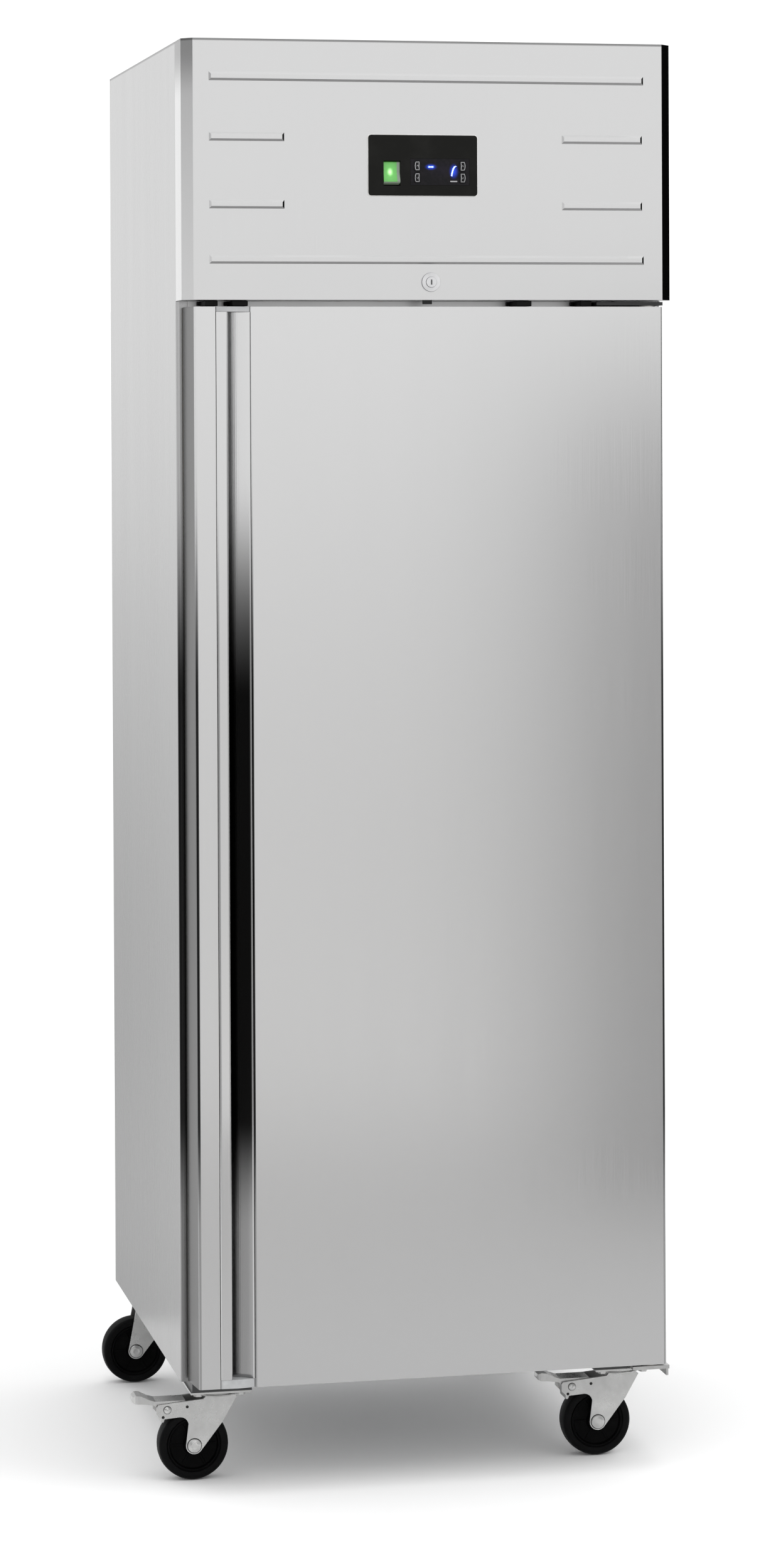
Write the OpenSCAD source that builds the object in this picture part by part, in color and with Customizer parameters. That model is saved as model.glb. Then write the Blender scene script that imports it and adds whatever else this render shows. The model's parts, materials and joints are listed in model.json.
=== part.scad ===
// Upright one-door reach-in refrigerator on four castors, for a restaurant kitchen.
// Origin: centre of the part's footprint, on the floor. -Y is the front, +Z is up.

/* [Cabinet] */
// Width of the cabinet over its side panels
cab_w = 695; // [660:5:720]
// Depth from the door front to the back panel
cab_d = 745; // [735:5:800]
// Height of the cabinet above the floor
cab_h = 2010; // [1990:10:2100]
// Height of the cabinet's underside above the floor
base_z = 147; // [147:1:160]
// Thickness of the insulated walls
wall_t = 64; // [60:1:70]
// Thickness of the outer sheet metal
sheet = 1; // [0.8:0.1:1.2]

/* [Door] */
// Height of the fascia's bottom edge above the floor
fascia_z = 1650; // [1600:5:1660]
// Thickness of the insulated door
door_t = 60; // [56:1:60]
// Gap between the door and the cabinet front, filled by the gasket
gasket_t = 8; // [8:1:10]
// Width of the finger cove beside the handle lip
cove_w = 30; // [26:1:30]
// How far the hinge axis lies in from the door's front edge
hinge_inset = 17; // [16:1:19]

/* [Controls] */
// Width of the black control bezel
bezel_w = 154; // [150:1:170]
// Height of the black control bezel
bezel_h = 84; // [80:1:90]
// Travel of a controller key
key_travel = 0.8; // [0.4:0.1:1.0]
// Travel of the lock bolt
bolt_travel = 6; // [3:1:7]

/* [Interior] */
// Number of shelf levels; each has its own node
shelf_levels = 3; // [3:1:3]
// Height of the lowest shelf above the floor
shelf_first_z = 560; // [500:10:600]
// Height between shelves
shelf_pitch = 300; // [250:10:310]

/* [Castors] */
// Radius of a castor wheel
wheel_r = 50; // [46:1:50]
// Sideways distance from the middle to a swivel axis
castor_x = 291; // [280:1:295]
// Trail of the wheel behind its swivel axis
trail = 34; // [30:1:36]

/* [Hidden] */
$fn = 48;

// Small gap that keeps neighbouring sheets and slabs apart
gap = 0.2;
// Radial clearance of a running fit
run_fit = 0.06;
half_w = cab_w / 2;

// Cabinet box
body_y = door_t + gasket_t;
skin_in = half_w - sheet;
flange_w = 16;
fold_r = 5;
liner_t = 0.8;
liner_x = half_w - wall_t - sheet;
liner_back_y = cab_d - wall_t + 3;
liner_floor_z = base_z + 61;
liner_top_z = fascia_z - 60;
frame_t = 1.8;

// Base rails under the cabinet, and castors
rail_h = 18;
rail_w = 84;
rail_t = 2;
rail_z = base_z - rail_h;
rail_x = half_w - 16.5 - rail_w;
rail_y0 = body_y + 6;
rail_y1 = cab_d - 3;
castor_y_front = body_y + 48;
castor_y_rear = cab_d - 45;
castor_plate = 84;
castor_plate_t = 3;
bolt_pitch = 60;
bolt_r = 4;
kingpin_r = 6;
axle_r = 6;
cheek_in = 17.5;
cheek_t = 3;
crown_top = rail_z - castor_plate_t - 5;
axle_x = -trail;
pedal_x = -trail - 38;
pedal_z = 102;
pedal_pin_r = 3;
pedal_reach = trail + 87;
pedal_half_w = 16.5;

// Fascia above the door
chamfer = 14.5;
fascia_t = 1.2;
rib_h = 12;
rib_proud = 2.6;
rib_x = 311;
short_rib_left = 105;
short_rib_right = 116;
rib_rows_long = [fascia_z + 56, cab_h - 52];
rib_rows_short = [fascia_z + 132, fascia_z + 225];

// Controls
bezel_x = -11;
bezel_z = fascia_z + 187;
bezel_proud = 3;
bezel_deep = 22;
rocker_x = bezel_x - 44;
rocker_z = bezel_z - 11;
rocker_w = 23;
rocker_half_h = 15;
rocker_swing_r = 17;
rocker_pivot_y = 8.1;
rocker_tilt = 10;
ctrl_x = bezel_x + 24;
ctrl_z = bezel_z - 9;
ctrl_w = 84;
ctrl_h = 37;
key_w = 9;
key_h = 14;
key_dx = 32;
key_dz = 8.2;
key_gap = 0.15;
lock_z = fascia_z + 25;
lock_r = 7.3;
bolt_y0 = 24;
bolt_t = 4;
bolt_w = 13;
bolt_tip_z = fascia_z + 1 - bolt_travel;
key_proud = 1;
key_deep = 5;

// Door
door_half_w = half_w - 14.5;
door_flare = 6;
door_bottom_z = base_z + 3.5;
door_top_z = fascia_z - 9;
door_corner_r = 4;
edge_r = 3;
handle_x0 = -door_half_w + 30;
handle_x1 = -door_half_w + 78;
trough_y = 34;
lip_proud = 2;
lip_x = handle_x0 + 17;
lip_t = 4;
lip_undercut = 7;
// The cove is an arc, steep at the door's face and shallow near the pocket behind the lip
cove_steep = 45;
cove_shallow = 72;
cove_r = (cove_w - 3) / (cos(cove_steep) - cos(cove_shallow));
pocket_y = 24;
cap_h_top = 7;
cap_h_bottom = 12;
hinge_x = door_half_w - hinge_inset;
hinge_y = 22;
hinge_pin_r = 5;
bush_r = 9;
bush_len = 22;
gasket_w = 18;
gasket_x = hinge_x;
gasket_z0 = door_bottom_z + 18;
gasket_z1 = door_top_z - 18;

// Machine compartment on top
deck_z = fascia_z;
comp_x = -150;
comp_y = 470;
coil_x0 = -20;
coil_x1 = 310;
coil_y0 = 120;
coil_y1 = 185;
coil_z0 = deck_z + 8;
coil_z1 = deck_z + 268;
cond_fan_x = (coil_x0 + coil_x1) / 2;
cond_fan_z = (coil_z0 + coil_z1) / 2;
cond_fan_r = 92;
cond_fan_y = coil_y1 + 32;

// Cable gland in the rear grille
gland_x = -half_w + 80;
gland_z = deck_z + 30;
gland_bore_r = 4.5;

// Air cooler under the cabinet ceiling
evap_half_w = 235;
evap_y0 = 372;
evap_y1 = 660;
evap_z0 = liner_top_z - 165;
evap_z1 = liner_top_z - liner_t - gap;
evap_fan_z = (evap_z0 + evap_z1) / 2;
evap_fan_r = 62;

// Shelves
shelf_half_w = 268;
shelf_y0 = 100;
shelf_y1 = 655;
rod_r = 3.5;
wire_r = 1.6;
wire_count = 20;
upright_y = [130, 610];

// The part stands centred on its bounding box: the left brake pedal and the lock reach past the cabinet
lock_proud = 5;
place_x = (castor_x + pedal_reach - half_w) / 2;
place_y = -(cab_d - lock_proud) / 2;

function arc(cx, cy, r, from, to, n = 6) =
    [for (i = [0:n]) let (a = from + (to - from) * i / n) [cx + r * cos(a), cy + r * sin(a)]];

module block(lo, hi) {
    translate(lo) cube([hi[0] - lo[0], hi[1] - lo[1], hi[2] - lo[2]]);
}

// A drawing in X and Z, given thickness from y0 to y1
module facing(y0, y1) {
    translate([0, y1, 0]) rotate([90, 0, 0]) linear_extrude(y1 - y0) children();
}

// A drawing in Y and Z, given length from x0 to x1
module across(x0, x1) {
    translate([x0, 0, 0]) rotate([90, 0, 90]) linear_extrude(x1 - x0) children();
}

module bar_x(y, z, r, x0, x1, sides = 48) {
    translate([x0, y, z]) rotate([0, 90, 0]) cylinder(r = r, h = x1 - x0, $fn = sides);
}

module bar_y(x, z, r, y0, y1, sides = 48) {
    translate([x, y0, z]) rotate([-90, 0, 0]) cylinder(r = r, h = y1 - y0, $fn = sides);
}

module bar_z(x, y, r, z0, z1, sides = 48) {
    translate([x, y, z0]) cylinder(r = r, h = z1 - z0, $fn = sides);
}

module round_rect(cx, cz, w, h, r) {
    polygon(concat(
        arc(cx + w / 2 - r, cz + h / 2 - r, r, 0, 90),
        arc(cx - w / 2 + r, cz + h / 2 - r, r, 90, 180),
        arc(cx - w / 2 + r, cz - h / 2 + r, r, 180, 270),
        arc(cx + w / 2 - r, cz - h / 2 + r, r, 270, 360)));
}

module place() {
    translate([place_x, place_y, 0]) children();
}

// ---------- cabinet shell ----------

// Sheet with its front edge folded round to a flange, plain above the door opening
module side_panel_shape() {
    corner_x = -half_w + fold_r;
    corner_y = body_y + fold_r;
    translate([0, 0, base_z]) linear_extrude(fascia_z - base_z) polygon(concat(
        [[-skin_in, cab_d - sheet], [-half_w, cab_d - sheet]],
        arc(corner_x, corner_y, fold_r, 180, 270, 8),
        [[-half_w + flange_w, body_y], [-half_w + flange_w, body_y + sheet]],
        arc(corner_x, corner_y, fold_r - sheet, 270, 180, 8)));
    block([-half_w, body_y, fascia_z - 0.5], [-skin_in, cab_d - sheet, cab_h]);
}

module side_panel_left() {
    color("silver") place() side_panel_shape();
}

module side_panel_right() {
    color("silver") place() mirror([1, 0, 0]) side_panel_shape();
}

module back_panel() {
    color("lightgray") place()
        block([-half_w, cab_d - sheet, base_z], [half_w, cab_d, deck_z]);
}

module bottom_panel() {
    color("darkgray") place()
        block([-skin_in + gap, body_y + fold_r + gap, base_z],
              [skin_in - gap, cab_d - sheet - gap, base_z + sheet]);
}

// Two C rails, open towards the middle, that carry the castor plates
module base_rails() {
    color("dimgray") place() for (side = [0, 1]) mirror([side, 0, 0]) difference() {
        block([rail_x, rail_y0, rail_z], [rail_x + rail_w, rail_y1, base_z]);
        block([rail_x - 1, rail_y0 + rail_t, rail_z + rail_t],
              [rail_x + rail_w - rail_t, rail_y1 - rail_t, base_z - rail_t]);
        for (y = [castor_y_front, castor_y_rear], dx = [-1, 1], dy = [-1, 1])
            bar_z(castor_x + dx * bolt_pitch / 2, y + dy * bolt_pitch / 2, bolt_r + 0.25,
                  rail_z - 1, rail_z + rail_t + 1);
    }
}

// Five foam slabs: two sides, back, floor and ceiling
module cabinet_insulation() {
    z0 = base_z + sheet + gap;
    z1 = deck_z - sheet - gap;
    y0 = body_y + frame_t + gap;
    y1 = cab_d - sheet - gap;
    x0 = liner_x + liner_t + gap;
    color("khaki") place() {
        for (side = [0, 1]) mirror([side, 0, 0])
            block([x0, body_y + fold_r + gap, z0], [skin_in - gap, y1, z1]);
        block([-x0 + gap, liner_back_y + liner_t + gap, z0], [x0 - gap, y1, z1]);
        block([-x0 + gap, y0, z0], [x0 - gap, liner_back_y + liner_t, liner_floor_z - liner_t - 2 * gap]);
        block([-x0 + gap, y0, liner_top_z + liner_t + 2 * gap], [x0 - gap, liner_back_y + liner_t, z1]);
    }
}

// Five stainless sheets round the storage space
module inner_liner() {
    y0 = body_y + frame_t + gap;
    color("gainsboro") place() {
        for (side = [0, 1]) mirror([side, 0, 0])
            block([liner_x, y0, liner_floor_z], [liner_x + liner_t, liner_back_y, liner_top_z]);
        block([-liner_x, liner_back_y + gap, liner_floor_z],
              [liner_x, liner_back_y + gap + liner_t, liner_top_z]);
        for (z = [liner_floor_z - liner_t - gap, liner_top_z + gap])
            block([-liner_x, y0, z], [liner_x, liner_back_y, z + liner_t]);
    }
}

// Face frame that the gasket closes on
module front_frame() {
    y1 = body_y + frame_t;
    x1 = half_w - flange_w - gap;
    color("gainsboro") place() {
        for (side = [0, 1]) mirror([side, 0, 0])
            block([liner_x, body_y, base_z + sheet + gap], [x1, y1, fascia_z]);
        block([-liner_x + gap, body_y, base_z + sheet + gap], [liner_x - gap, y1, liner_floor_z]);
        block([-liner_x + gap, body_y, liner_top_z], [liner_x - gap, y1, fascia_z]);
    }
}

module compartment_floor() {
    color("darkgray") place()
        block([-skin_in + gap, body_y + fold_r + gap, deck_z - sheet],
              [skin_in - gap, cab_d - sheet - gap, deck_z]);
}

// Sheet with two banks of air slots behind the machine compartment
module rear_grille() {
    slot_rows = 12;
    slot_w = 190;
    slot_h = 7;
    slot_pitch = 20;
    color("lightgray") place() difference() {
        block([-skin_in + gap, cab_d - sheet, deck_z + gap], [skin_in - gap, cab_d, cab_h - 25]);
        for (row = [0:slot_rows - 1], side = [-1, 1])
            block([side * 160 - slot_w / 2, cab_d - sheet - 1, deck_z + 60 + row * slot_pitch],
                  [side * 160 + slot_w / 2, cab_d + 1, deck_z + 60 + row * slot_pitch + slot_h]);
        bar_y(gland_x, gland_z, 8 + gap, cab_d - sheet - 1, cab_d + 1);
    }
}

// ---------- fascia and controls ----------

function fascia_outline(t) = [
    [-half_w + t, body_y - gap], [-half_w + t, chamfer + 0.4 * t], [-half_w + chamfer + 0.4 * t, t],
    [half_w - chamfer - 0.4 * t, t], [half_w - t, chamfer + 0.4 * t], [half_w - t, body_y - gap]];

// A raised rib: its ends are mitred like its long edges
module rib(x0, x1, z) {
    bevel = rib_h / 2 - 3;
    root = 0.4;
    intersection() {
        across(x0, x1)
            polygon([[root, z - rib_h / 2], [0, z - rib_h / 2], [-rib_proud, z - rib_h / 2 + bevel],
                     [-rib_proud, z + rib_h / 2 - bevel], [0, z + rib_h / 2], [root, z + rib_h / 2]]);
        translate([0, 0, z - rib_h]) linear_extrude(2 * rib_h)
            polygon([[x0, root], [x0, 0], [x0 + bevel, -rib_proud],
                     [x1 - bevel, -rib_proud], [x1, 0], [x1, root]]);
    }
}

module fascia_panel() {
    z0 = fascia_z + gap;
    color("silver") place() {
        difference() {
            translate([0, 0, z0]) linear_extrude(cab_h - z0) polygon(fascia_outline(0));
            translate([0, 0, z0 + fascia_t]) linear_extrude(cab_h - z0 - 2 * fascia_t)
                polygon(concat([[-half_w + fascia_t, body_y]],
                    [for (i = [1:4]) fascia_outline(fascia_t)[i]], [[half_w - fascia_t, body_y]]));
            block([-half_w + 22, 22, cab_h - 5], [half_w - 22, body_y + 1, cab_h + 1]);
            block([-bezel_w / 2 + bezel_x + 4, -1, bezel_z - bezel_h / 2 + 4],
                  [bezel_w / 2 + bezel_x - 4, fascia_t + 1, bezel_z + bezel_h / 2 - 4]);
            bar_y(0, lock_z, 9.5, -1, fascia_t + 1);
            block([-bolt_w / 2 - 1, bolt_y0 - 1, fascia_z - 1],
                  [bolt_w / 2 + 1, bolt_y0 + bolt_t + 1, fascia_z + fascia_t + 1]);
        }
        for (z = rib_rows_long) rib(-rib_x, rib_x - 5, z);
        for (z = rib_rows_short) {
            rib(-rib_x, -rib_x + short_rib_left, z);
            rib(rib_x - 7 - short_rib_right, rib_x - 7, z);
        }
    }
}

// Black frame with the rocker well on the left and the controller well on the right
module control_bezel() {
    well_z = rocker_swing_r + 0.3;
    color("black") place() difference() {
        union() {
            facing(-bezel_proud, 0) round_rect(bezel_x, bezel_z, bezel_w, bezel_h, 4);
            block([-bezel_w / 2 + bezel_x + 4.3, -1, bezel_z - bezel_h / 2 + 4.3],
                  [bezel_w / 2 + bezel_x - 4.3, bezel_deep, bezel_z + bezel_h / 2 - 4.3]);
        }
        block([rocker_x - rocker_w / 2 - 0.4, -bezel_proud - 1, rocker_z - well_z],
              [rocker_x + rocker_w / 2 + 0.4, bezel_deep - 1, rocker_z + well_z]);
        block([ctrl_x - ctrl_w / 2, -bezel_proud - 1, ctrl_z - ctrl_h / 2],
              [ctrl_x + ctrl_w / 2, bezel_deep - 1, ctrl_z + ctrl_h / 2]);
    }
}

module key_outline(cx, cz, grow) {
    round_rect(cx, cz, key_w + 2 * grow, key_h + 2 * grow, 2);
}

// Thermostat with four key wells; its face is flush with the bezel
module controller() {
    color([0.06, 0.06, 0.07]) place() difference() {
        block([ctrl_x - ctrl_w / 2 + gap, -bezel_proud, ctrl_z - ctrl_h / 2 + gap],
              [ctrl_x + ctrl_w / 2 - gap, bezel_deep - 1, ctrl_z + ctrl_h / 2 - gap]);
        for (side = [-1, 1], row = [-1, 1])
            facing(-bezel_proud - 1, -bezel_proud + key_deep)
                key_outline(ctrl_x + side * key_dx, ctrl_z + row * key_dz, key_gap);
    }
}

module key_shape(side, row) {
    color([0.2, 0.2, 0.2]) place()
        facing(-bezel_proud - key_proud, -bezel_proud + key_deep - key_travel - gap)
            key_outline(ctrl_x + side * key_dx, ctrl_z + row * key_dz, 0);
}

module key_upper_left() {
    key_shape(-1, 1);
}

module key_lower_left() {
    key_shape(-1, -1);
}

module key_upper_right() {
    key_shape(1, 1);
}

module key_lower_right() {
    key_shape(1, -1);
}

// Rocker with a hollow V face, drawn with its upper end pressed in; it rocks about a pin along X
module rocker_switch() {
    front = -9;
    color("limegreen") place()
        translate([0, rocker_pivot_y, rocker_z]) rotate([-rocker_tilt, 0, 0])
            intersection() {
                across(rocker_x - rocker_w / 2, rocker_x + rocker_w / 2)
                    polygon([[front + 1, 0], [front - 1.6, rocker_half_h], [3, rocker_half_h],
                             [8, 4], [8, -4], [3, -rocker_half_h], [front - 1.6, -rocker_half_h]]);
                bar_x(0, 0, rocker_swing_r, rocker_x - rocker_w, rocker_x + rocker_w);
            }
}

module lock_housing() {
    color("silver") place() difference() {
        union() {
            bar_y(0, lock_z, 13, -3, 0);
            bar_y(0, lock_z, 9.3, -1, 20);
            bar_y(0, lock_z, 12.5, fascia_t + gap, fascia_t + 5, 6);
        }
        bar_y(0, lock_z, lock_r + run_fit, -4, 21);
    }
}

// Plug with a key slot
module lock_barrel() {
    color("lightgray") place() difference() {
        union() {
            bar_y(0, lock_z, lock_r, -lock_proud, 20);
            bar_y(0, lock_z, 5, 19, bolt_y0 - gap);
        }
        block([-0.9, -lock_proud - 1, lock_z - 3.6], [0.9, 12, lock_z + 3.6]);
    }
}

module lock_bolt() {
    color("dimgray") place()
        block([-bolt_w / 2, bolt_y0, bolt_tip_z], [bolt_w / 2, bolt_y0 + bolt_t, lock_z + 8]);
}

// ---------- machine compartment ----------

// Hermetic shell, one turned body, on a foot plate with four rubber grommets
module compressor() {
    r = 82;
    seam_z = deck_z + 95;
    top_z = deck_z + 185;
    color([0.08, 0.08, 0.08]) place() {
        translate([comp_x, comp_y, 0]) rotate_extrude() polygon(concat(
            [[0, deck_z + 18]], arc(r - 32, deck_z + 50, 32, -90, 0),
            [[r, seam_z - 4], [r + 5, seam_z - 4], [r + 5, seam_z + 4], [r, seam_z + 4]],
            arc(r - 55, top_z - 55, 55, 0, 90, 8), [[0, top_z]]));
        difference() {
            block([comp_x - 115, comp_y - 75, deck_z + 14], [comp_x + 115, comp_y + 75, deck_z + 18.5]);
            for (dx = [-100, 100], dy = [-60, 60]) bar_z(comp_x + dx, comp_y + dy, 6, deck_z, deck_z + 30);
        }
        for (dx = [-100, 100], dy = [-60, 60]) difference() {
            bar_z(comp_x + dx, comp_y + dy, 13, deck_z, deck_z + 13.9);
            bar_z(comp_x + dx, comp_y + dy, 5, deck_z - 1, deck_z + 20);
        }
        block([comp_x - 30, comp_y - r - 34, deck_z + 60], [comp_x + 30, comp_y - r + 6, deck_z + 130]);
    }
}

// Finned block with end plates
module condenser_coil() {
    fins = 22;
    fin_gap = 4;
    pitch = (coil_x1 - coil_x0 - 20) / fins;
    color("silver") place() {
        difference() {
            block([coil_x0 + 6, coil_y0, coil_z0], [coil_x1 - 6, coil_y1, coil_z1]);
            for (i = [0:fins], y = [coil_y0 - 1, coil_y1 - 5])
                block([coil_x0 + 8 + i * pitch, y, coil_z0 - 1],
                      [coil_x0 + 8 + i * pitch + fin_gap, y + 6, coil_z1 + 1]);
        }
        for (x = [coil_x0, coil_x1 - 2])
            block([x, coil_y0 - 4, deck_z], [x + 2, coil_y1 + 4, coil_z1 + 4]);
        for (x = [coil_x0 + 2, coil_x1 - 6], row = [0:4], y = [coil_y0 + 16, coil_y1 - 16])
            bar_x(y, coil_z0 + 26 + row * 52, 5, x, x + 4, 24);
    }
}

// Cowl behind the coil with a round mouth
module condenser_shroud() {
    y0 = coil_y1 + 5;
    color("dimgray") place() difference() {
        block([coil_x0 + 8, y0, deck_z], [coil_x1 - 8, y0 + 2, coil_z1]);
        bar_y(cond_fan_x, cond_fan_z, cond_fan_r + 6, y0 - 1, y0 + 3);
    }
}

// Motor on a bracket that stands on the compartment floor
module condenser_fan_motor() {
    y0 = cond_fan_y + 26;
    color([0.15, 0.15, 0.16]) place() {
        bar_y(cond_fan_x, cond_fan_z, 38, y0, y0 + 48);
        bar_y(cond_fan_x, cond_fan_z, 5, cond_fan_y - 3, y0 + 1);
        block([cond_fan_x - 30, y0 + 20, deck_z], [cond_fan_x + 30, y0 + 23, cond_fan_z]);
        block([cond_fan_x - 30, y0 - 10, deck_z], [cond_fan_x + 30, y0 + 50, deck_z + 3]);
    }
}

// Hub and pitched blades, facing -Y
module fan_rotor(x, y, z, r, hub_r, shaft_r, blades, depth) {
    translate([x, y, z]) difference() {
        union() {
            bar_y(0, 0, hub_r, -depth / 2, depth / 2);
            for (i = [0:blades - 1]) rotate([0, i * 360 / blades, 0]) rotate([0, 0, 28])
                block([-depth * 0.75, -0.8, hub_r - 4], [depth * 0.75, 0.8, r]);
        }
        bar_y(0, 0, shaft_r, -depth / 2 + 3, depth);
    }
}

module condenser_fan() {
    color("lightgray") place()
        fan_rotor(cond_fan_x, cond_fan_y + 8, cond_fan_z, cond_fan_r, 24, 5 + run_fit, 5, 30);
}

// Copper lines from the compressor to the coil, with a filter drier
module refrigerant_pipes() {
    r = 4;
    pipe_x = coil_x0 - 22;
    z_hot = deck_z + 150;
    z_cold = deck_z + 30;
    color("chocolate") place() {
        bar_z(pipe_x, coil_y0 + 30, r, z_cold - 40 + 10, z_hot, 16);
        bar_y(pipe_x, z_hot, r, coil_y0 + 30, comp_y - 20, 16);
        bar_x(comp_y - 20, z_hot, r, comp_x + 78, pipe_x, 16);
        bar_x(coil_y0 + 30, z_hot, r, pipe_x, coil_x0, 16);
        for (p = [[pipe_x, coil_y0 + 30], [pipe_x, comp_y - 20]])
            translate([p[0], p[1], z_hot]) sphere(r = r, $fn = 16);
        bar_z(pipe_x, coil_y0 + 30, 11, deck_z + 50, deck_z + 130, 24);
    }
}

module electrical_box() {
    color([0.16, 0.16, 0.17]) place()
        block([-skin_in + 20, 110, deck_z], [-skin_in + 130, 210, deck_z + 150]);
}

// Nylon gland for the mains lead, screwed through the rear sheet
module cable_gland() {
    color([0.1, 0.1, 0.1]) place() difference() {
        union() {
            bar_y(gland_x, gland_z, 8, cab_d - 22, cab_d - 0.5);
            bar_y(gland_x, gland_z, 13, cab_d - sheet - 5, cab_d - sheet, 6);
            bar_y(gland_x, gland_z, 12, cab_d - 22, cab_d - 12, 6);
        }
        bar_y(gland_x, gland_z, gland_bore_r, cab_d - 23, cab_d + 1);
    }
}

// ---------- air cooler ----------

module evaporator_coil() {
    fins = 18;
    x1 = evap_half_w - 12;
    pitch = 2 * x1 / fins;
    color("silver") place() difference() {
        block([-x1, evap_y0 + 108, evap_z0 + 22], [x1, evap_y1 - 12, evap_z1]);
        for (i = [0:fins - 1], y = [evap_y0 + 107, evap_y1 - 18])
            block([-x1 + 4 + i * pitch, y, evap_z0 + 20], [-x1 + 8 + i * pitch, y + 7, evap_z1 + 1]);
    }
}

// Four sheets: fan plate in front, drip pan below, two sides
module evaporator_cover() {
    color("gainsboro") place() {
        difference() {
            block([-evap_half_w, evap_y0, evap_z0], [evap_half_w, evap_y0 + 1.5, evap_z1]);
            bar_y(0, evap_fan_z, evap_fan_r + 4, evap_y0 - 1, evap_y0 + 3);
        }
        block([-evap_half_w, evap_y0 + 1.5 + gap, evap_z0], [evap_half_w, evap_y1, evap_z0 + 1.5]);
        for (side = [0, 1]) mirror([side, 0, 0])
            block([evap_half_w - 1.5, evap_y0 + 1.5 + gap, evap_z0 + 1.5 + gap],
                  [evap_half_w, evap_y1, evap_z1]);
    }
}

module evaporator_fan_motor() {
    y0 = evap_y0 + 48;
    color([0.15, 0.15, 0.16]) place() {
        bar_y(0, evap_fan_z, 26, y0, y0 + 40);
        bar_y(0, evap_fan_z, 4, evap_y0 + 18, y0 + 1);
        block([-15, y0 + 10, evap_fan_z], [15, y0 + 13, evap_z1]);
    }
}

module evaporator_fan() {
    color("white") place()
        fan_rotor(0, evap_y0 + 26, evap_fan_z, evap_fan_r, 18, 4 + run_fit, 5, 24);
}

// Finger guard: rings on two crossed bars, fixed on the fan plate
module fan_guard() {
    y1 = evap_y0;
    wire = 2;
    color("gainsboro") place() {
        for (r = [16, 30, 44, 58, evap_fan_r + 10]) difference() {
            bar_y(0, evap_fan_z, r + wire, y1 - wire, y1);
            bar_y(0, evap_fan_z, r, y1 - wire - 1, y1 + 1);
        }
        for (a = [0, 90]) translate([0, 0, evap_fan_z]) rotate([0, a + 45, 0])
            block([-evap_fan_r - 11, y1 - wire, -1.2], [evap_fan_r + 11, y1, 1.2]);
    }
}

// ---------- shelves ----------

// Slotted strips on the side walls
module shelf_uprights() {
    z0 = liner_floor_z + 30;
    z1 = evap_z0 - 15;
    slots = 36;
    pitch = (z1 - z0 - 40) / slots;
    color("silver") place() for (side = [0, 1]) mirror([side, 0, 0]) for (y = upright_y) difference() {
        block([liner_x - 5, y - 13, z0], [liner_x, y + 13, z1]);
        for (i = [0:slots - 1])
            block([liner_x - 6, y - 6, z0 + 20 + i * pitch], [liner_x - 2, y + 6, z0 + 30 + i * pitch]);
    }
}

// A pair of angle runners at each shelf level
module shelf_runners() {
    x1 = liner_x - 5;
    t = 1.5;
    color("silver") place()
        for (side = [0, 1], level = [0:shelf_levels - 1]) mirror([side, 0, 0])
            translate([0, 0, shelf_first_z + level * shelf_pitch])
                facing(shelf_y0 - 8, shelf_y1 + 10)
                    polygon([[x1, -t], [x1, 14], [x1 - t, 14], [x1 - t, 0], [x1 - 18, 0], [x1 - 18, -t]]);
}

// Wire shelf: a rod rim, two cross rods and a row of wires
module shelf(level) {
    z = shelf_first_z + level * shelf_pitch + rod_r;
    pitch = 2 * (shelf_half_w - 2 * rod_r) / (wire_count + 1);
    color("whitesmoke") place() {
        for (x = [-shelf_half_w + rod_r, shelf_half_w - rod_r])
            bar_y(x, z, rod_r, shelf_y0, shelf_y1, 8);
        for (y = [shelf_y0 + rod_r, shelf_y1 - rod_r, (2 * shelf_y0 + shelf_y1) / 3,
                  (shelf_y0 + 2 * shelf_y1) / 3])
            bar_x(y, z, rod_r, -shelf_half_w + rod_r, shelf_half_w - rod_r, 8);
        for (i = [1:wire_count])
            bar_y(-shelf_half_w + 2 * rod_r + i * pitch, z + rod_r, wire_r, shelf_y0 + 1, shelf_y1 - 1, 6);
    }
}

module shelf_lower() {
    shelf(0);
}

module shelf_middle() {
    shelf(1);
}

module shelf_upper() {
    shelf(2);
}

// ---------- door ----------

// Left half of the door's plan, from the trough to the back corner; n is the skin's thickness
function door_left(n) = concat(
    [[handle_x0 - n, trough_y + n], [handle_x0 - n, n]],
    arc(-door_half_w + door_corner_r, door_corner_r, door_corner_r - n, 270, 180),
    [[-door_half_w - door_flare + n, door_t - n]]);

function door_right(n) = concat(
    [[door_half_w + door_flare - n, door_t - n]],
    arc(door_half_w - door_corner_r, door_corner_r, door_corner_r - n, 0, -90),
    arc(handle_x1 + edge_r, edge_r, edge_r - n, 270, 180),
    [[handle_x1 + n, trough_y + n]]);

module door_plan(n) {
    polygon(concat(door_left(n), door_right(n)));
}

module hinge_bores(r, z0, z1) {
    bar_z(hinge_x, hinge_y, r, z0, z1);
}

// Folded front sheet with a trough for the handle, closed at the top and bottom
module door_skin() {
    color("silver") place() difference() {
        translate([0, 0, door_bottom_z]) linear_extrude(door_top_z - door_bottom_z) door_plan(0);
        translate([0, 0, door_bottom_z + sheet])
            linear_extrude(door_top_z - door_bottom_z - 2 * sheet) door_plan(sheet);
        block([-door_half_w - 1, door_t - sheet, door_bottom_z - 1],
              [door_half_w + 1, door_t + 1, door_top_z + 1]);
        block([-door_half_w - 4, door_t - sheet - 1, door_bottom_z + sheet],
              [door_half_w + 4, door_t + 1, door_top_z - sheet]);
        hinge_bores(bush_r, door_bottom_z - 1, door_top_z + 1);
    }
}

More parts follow.
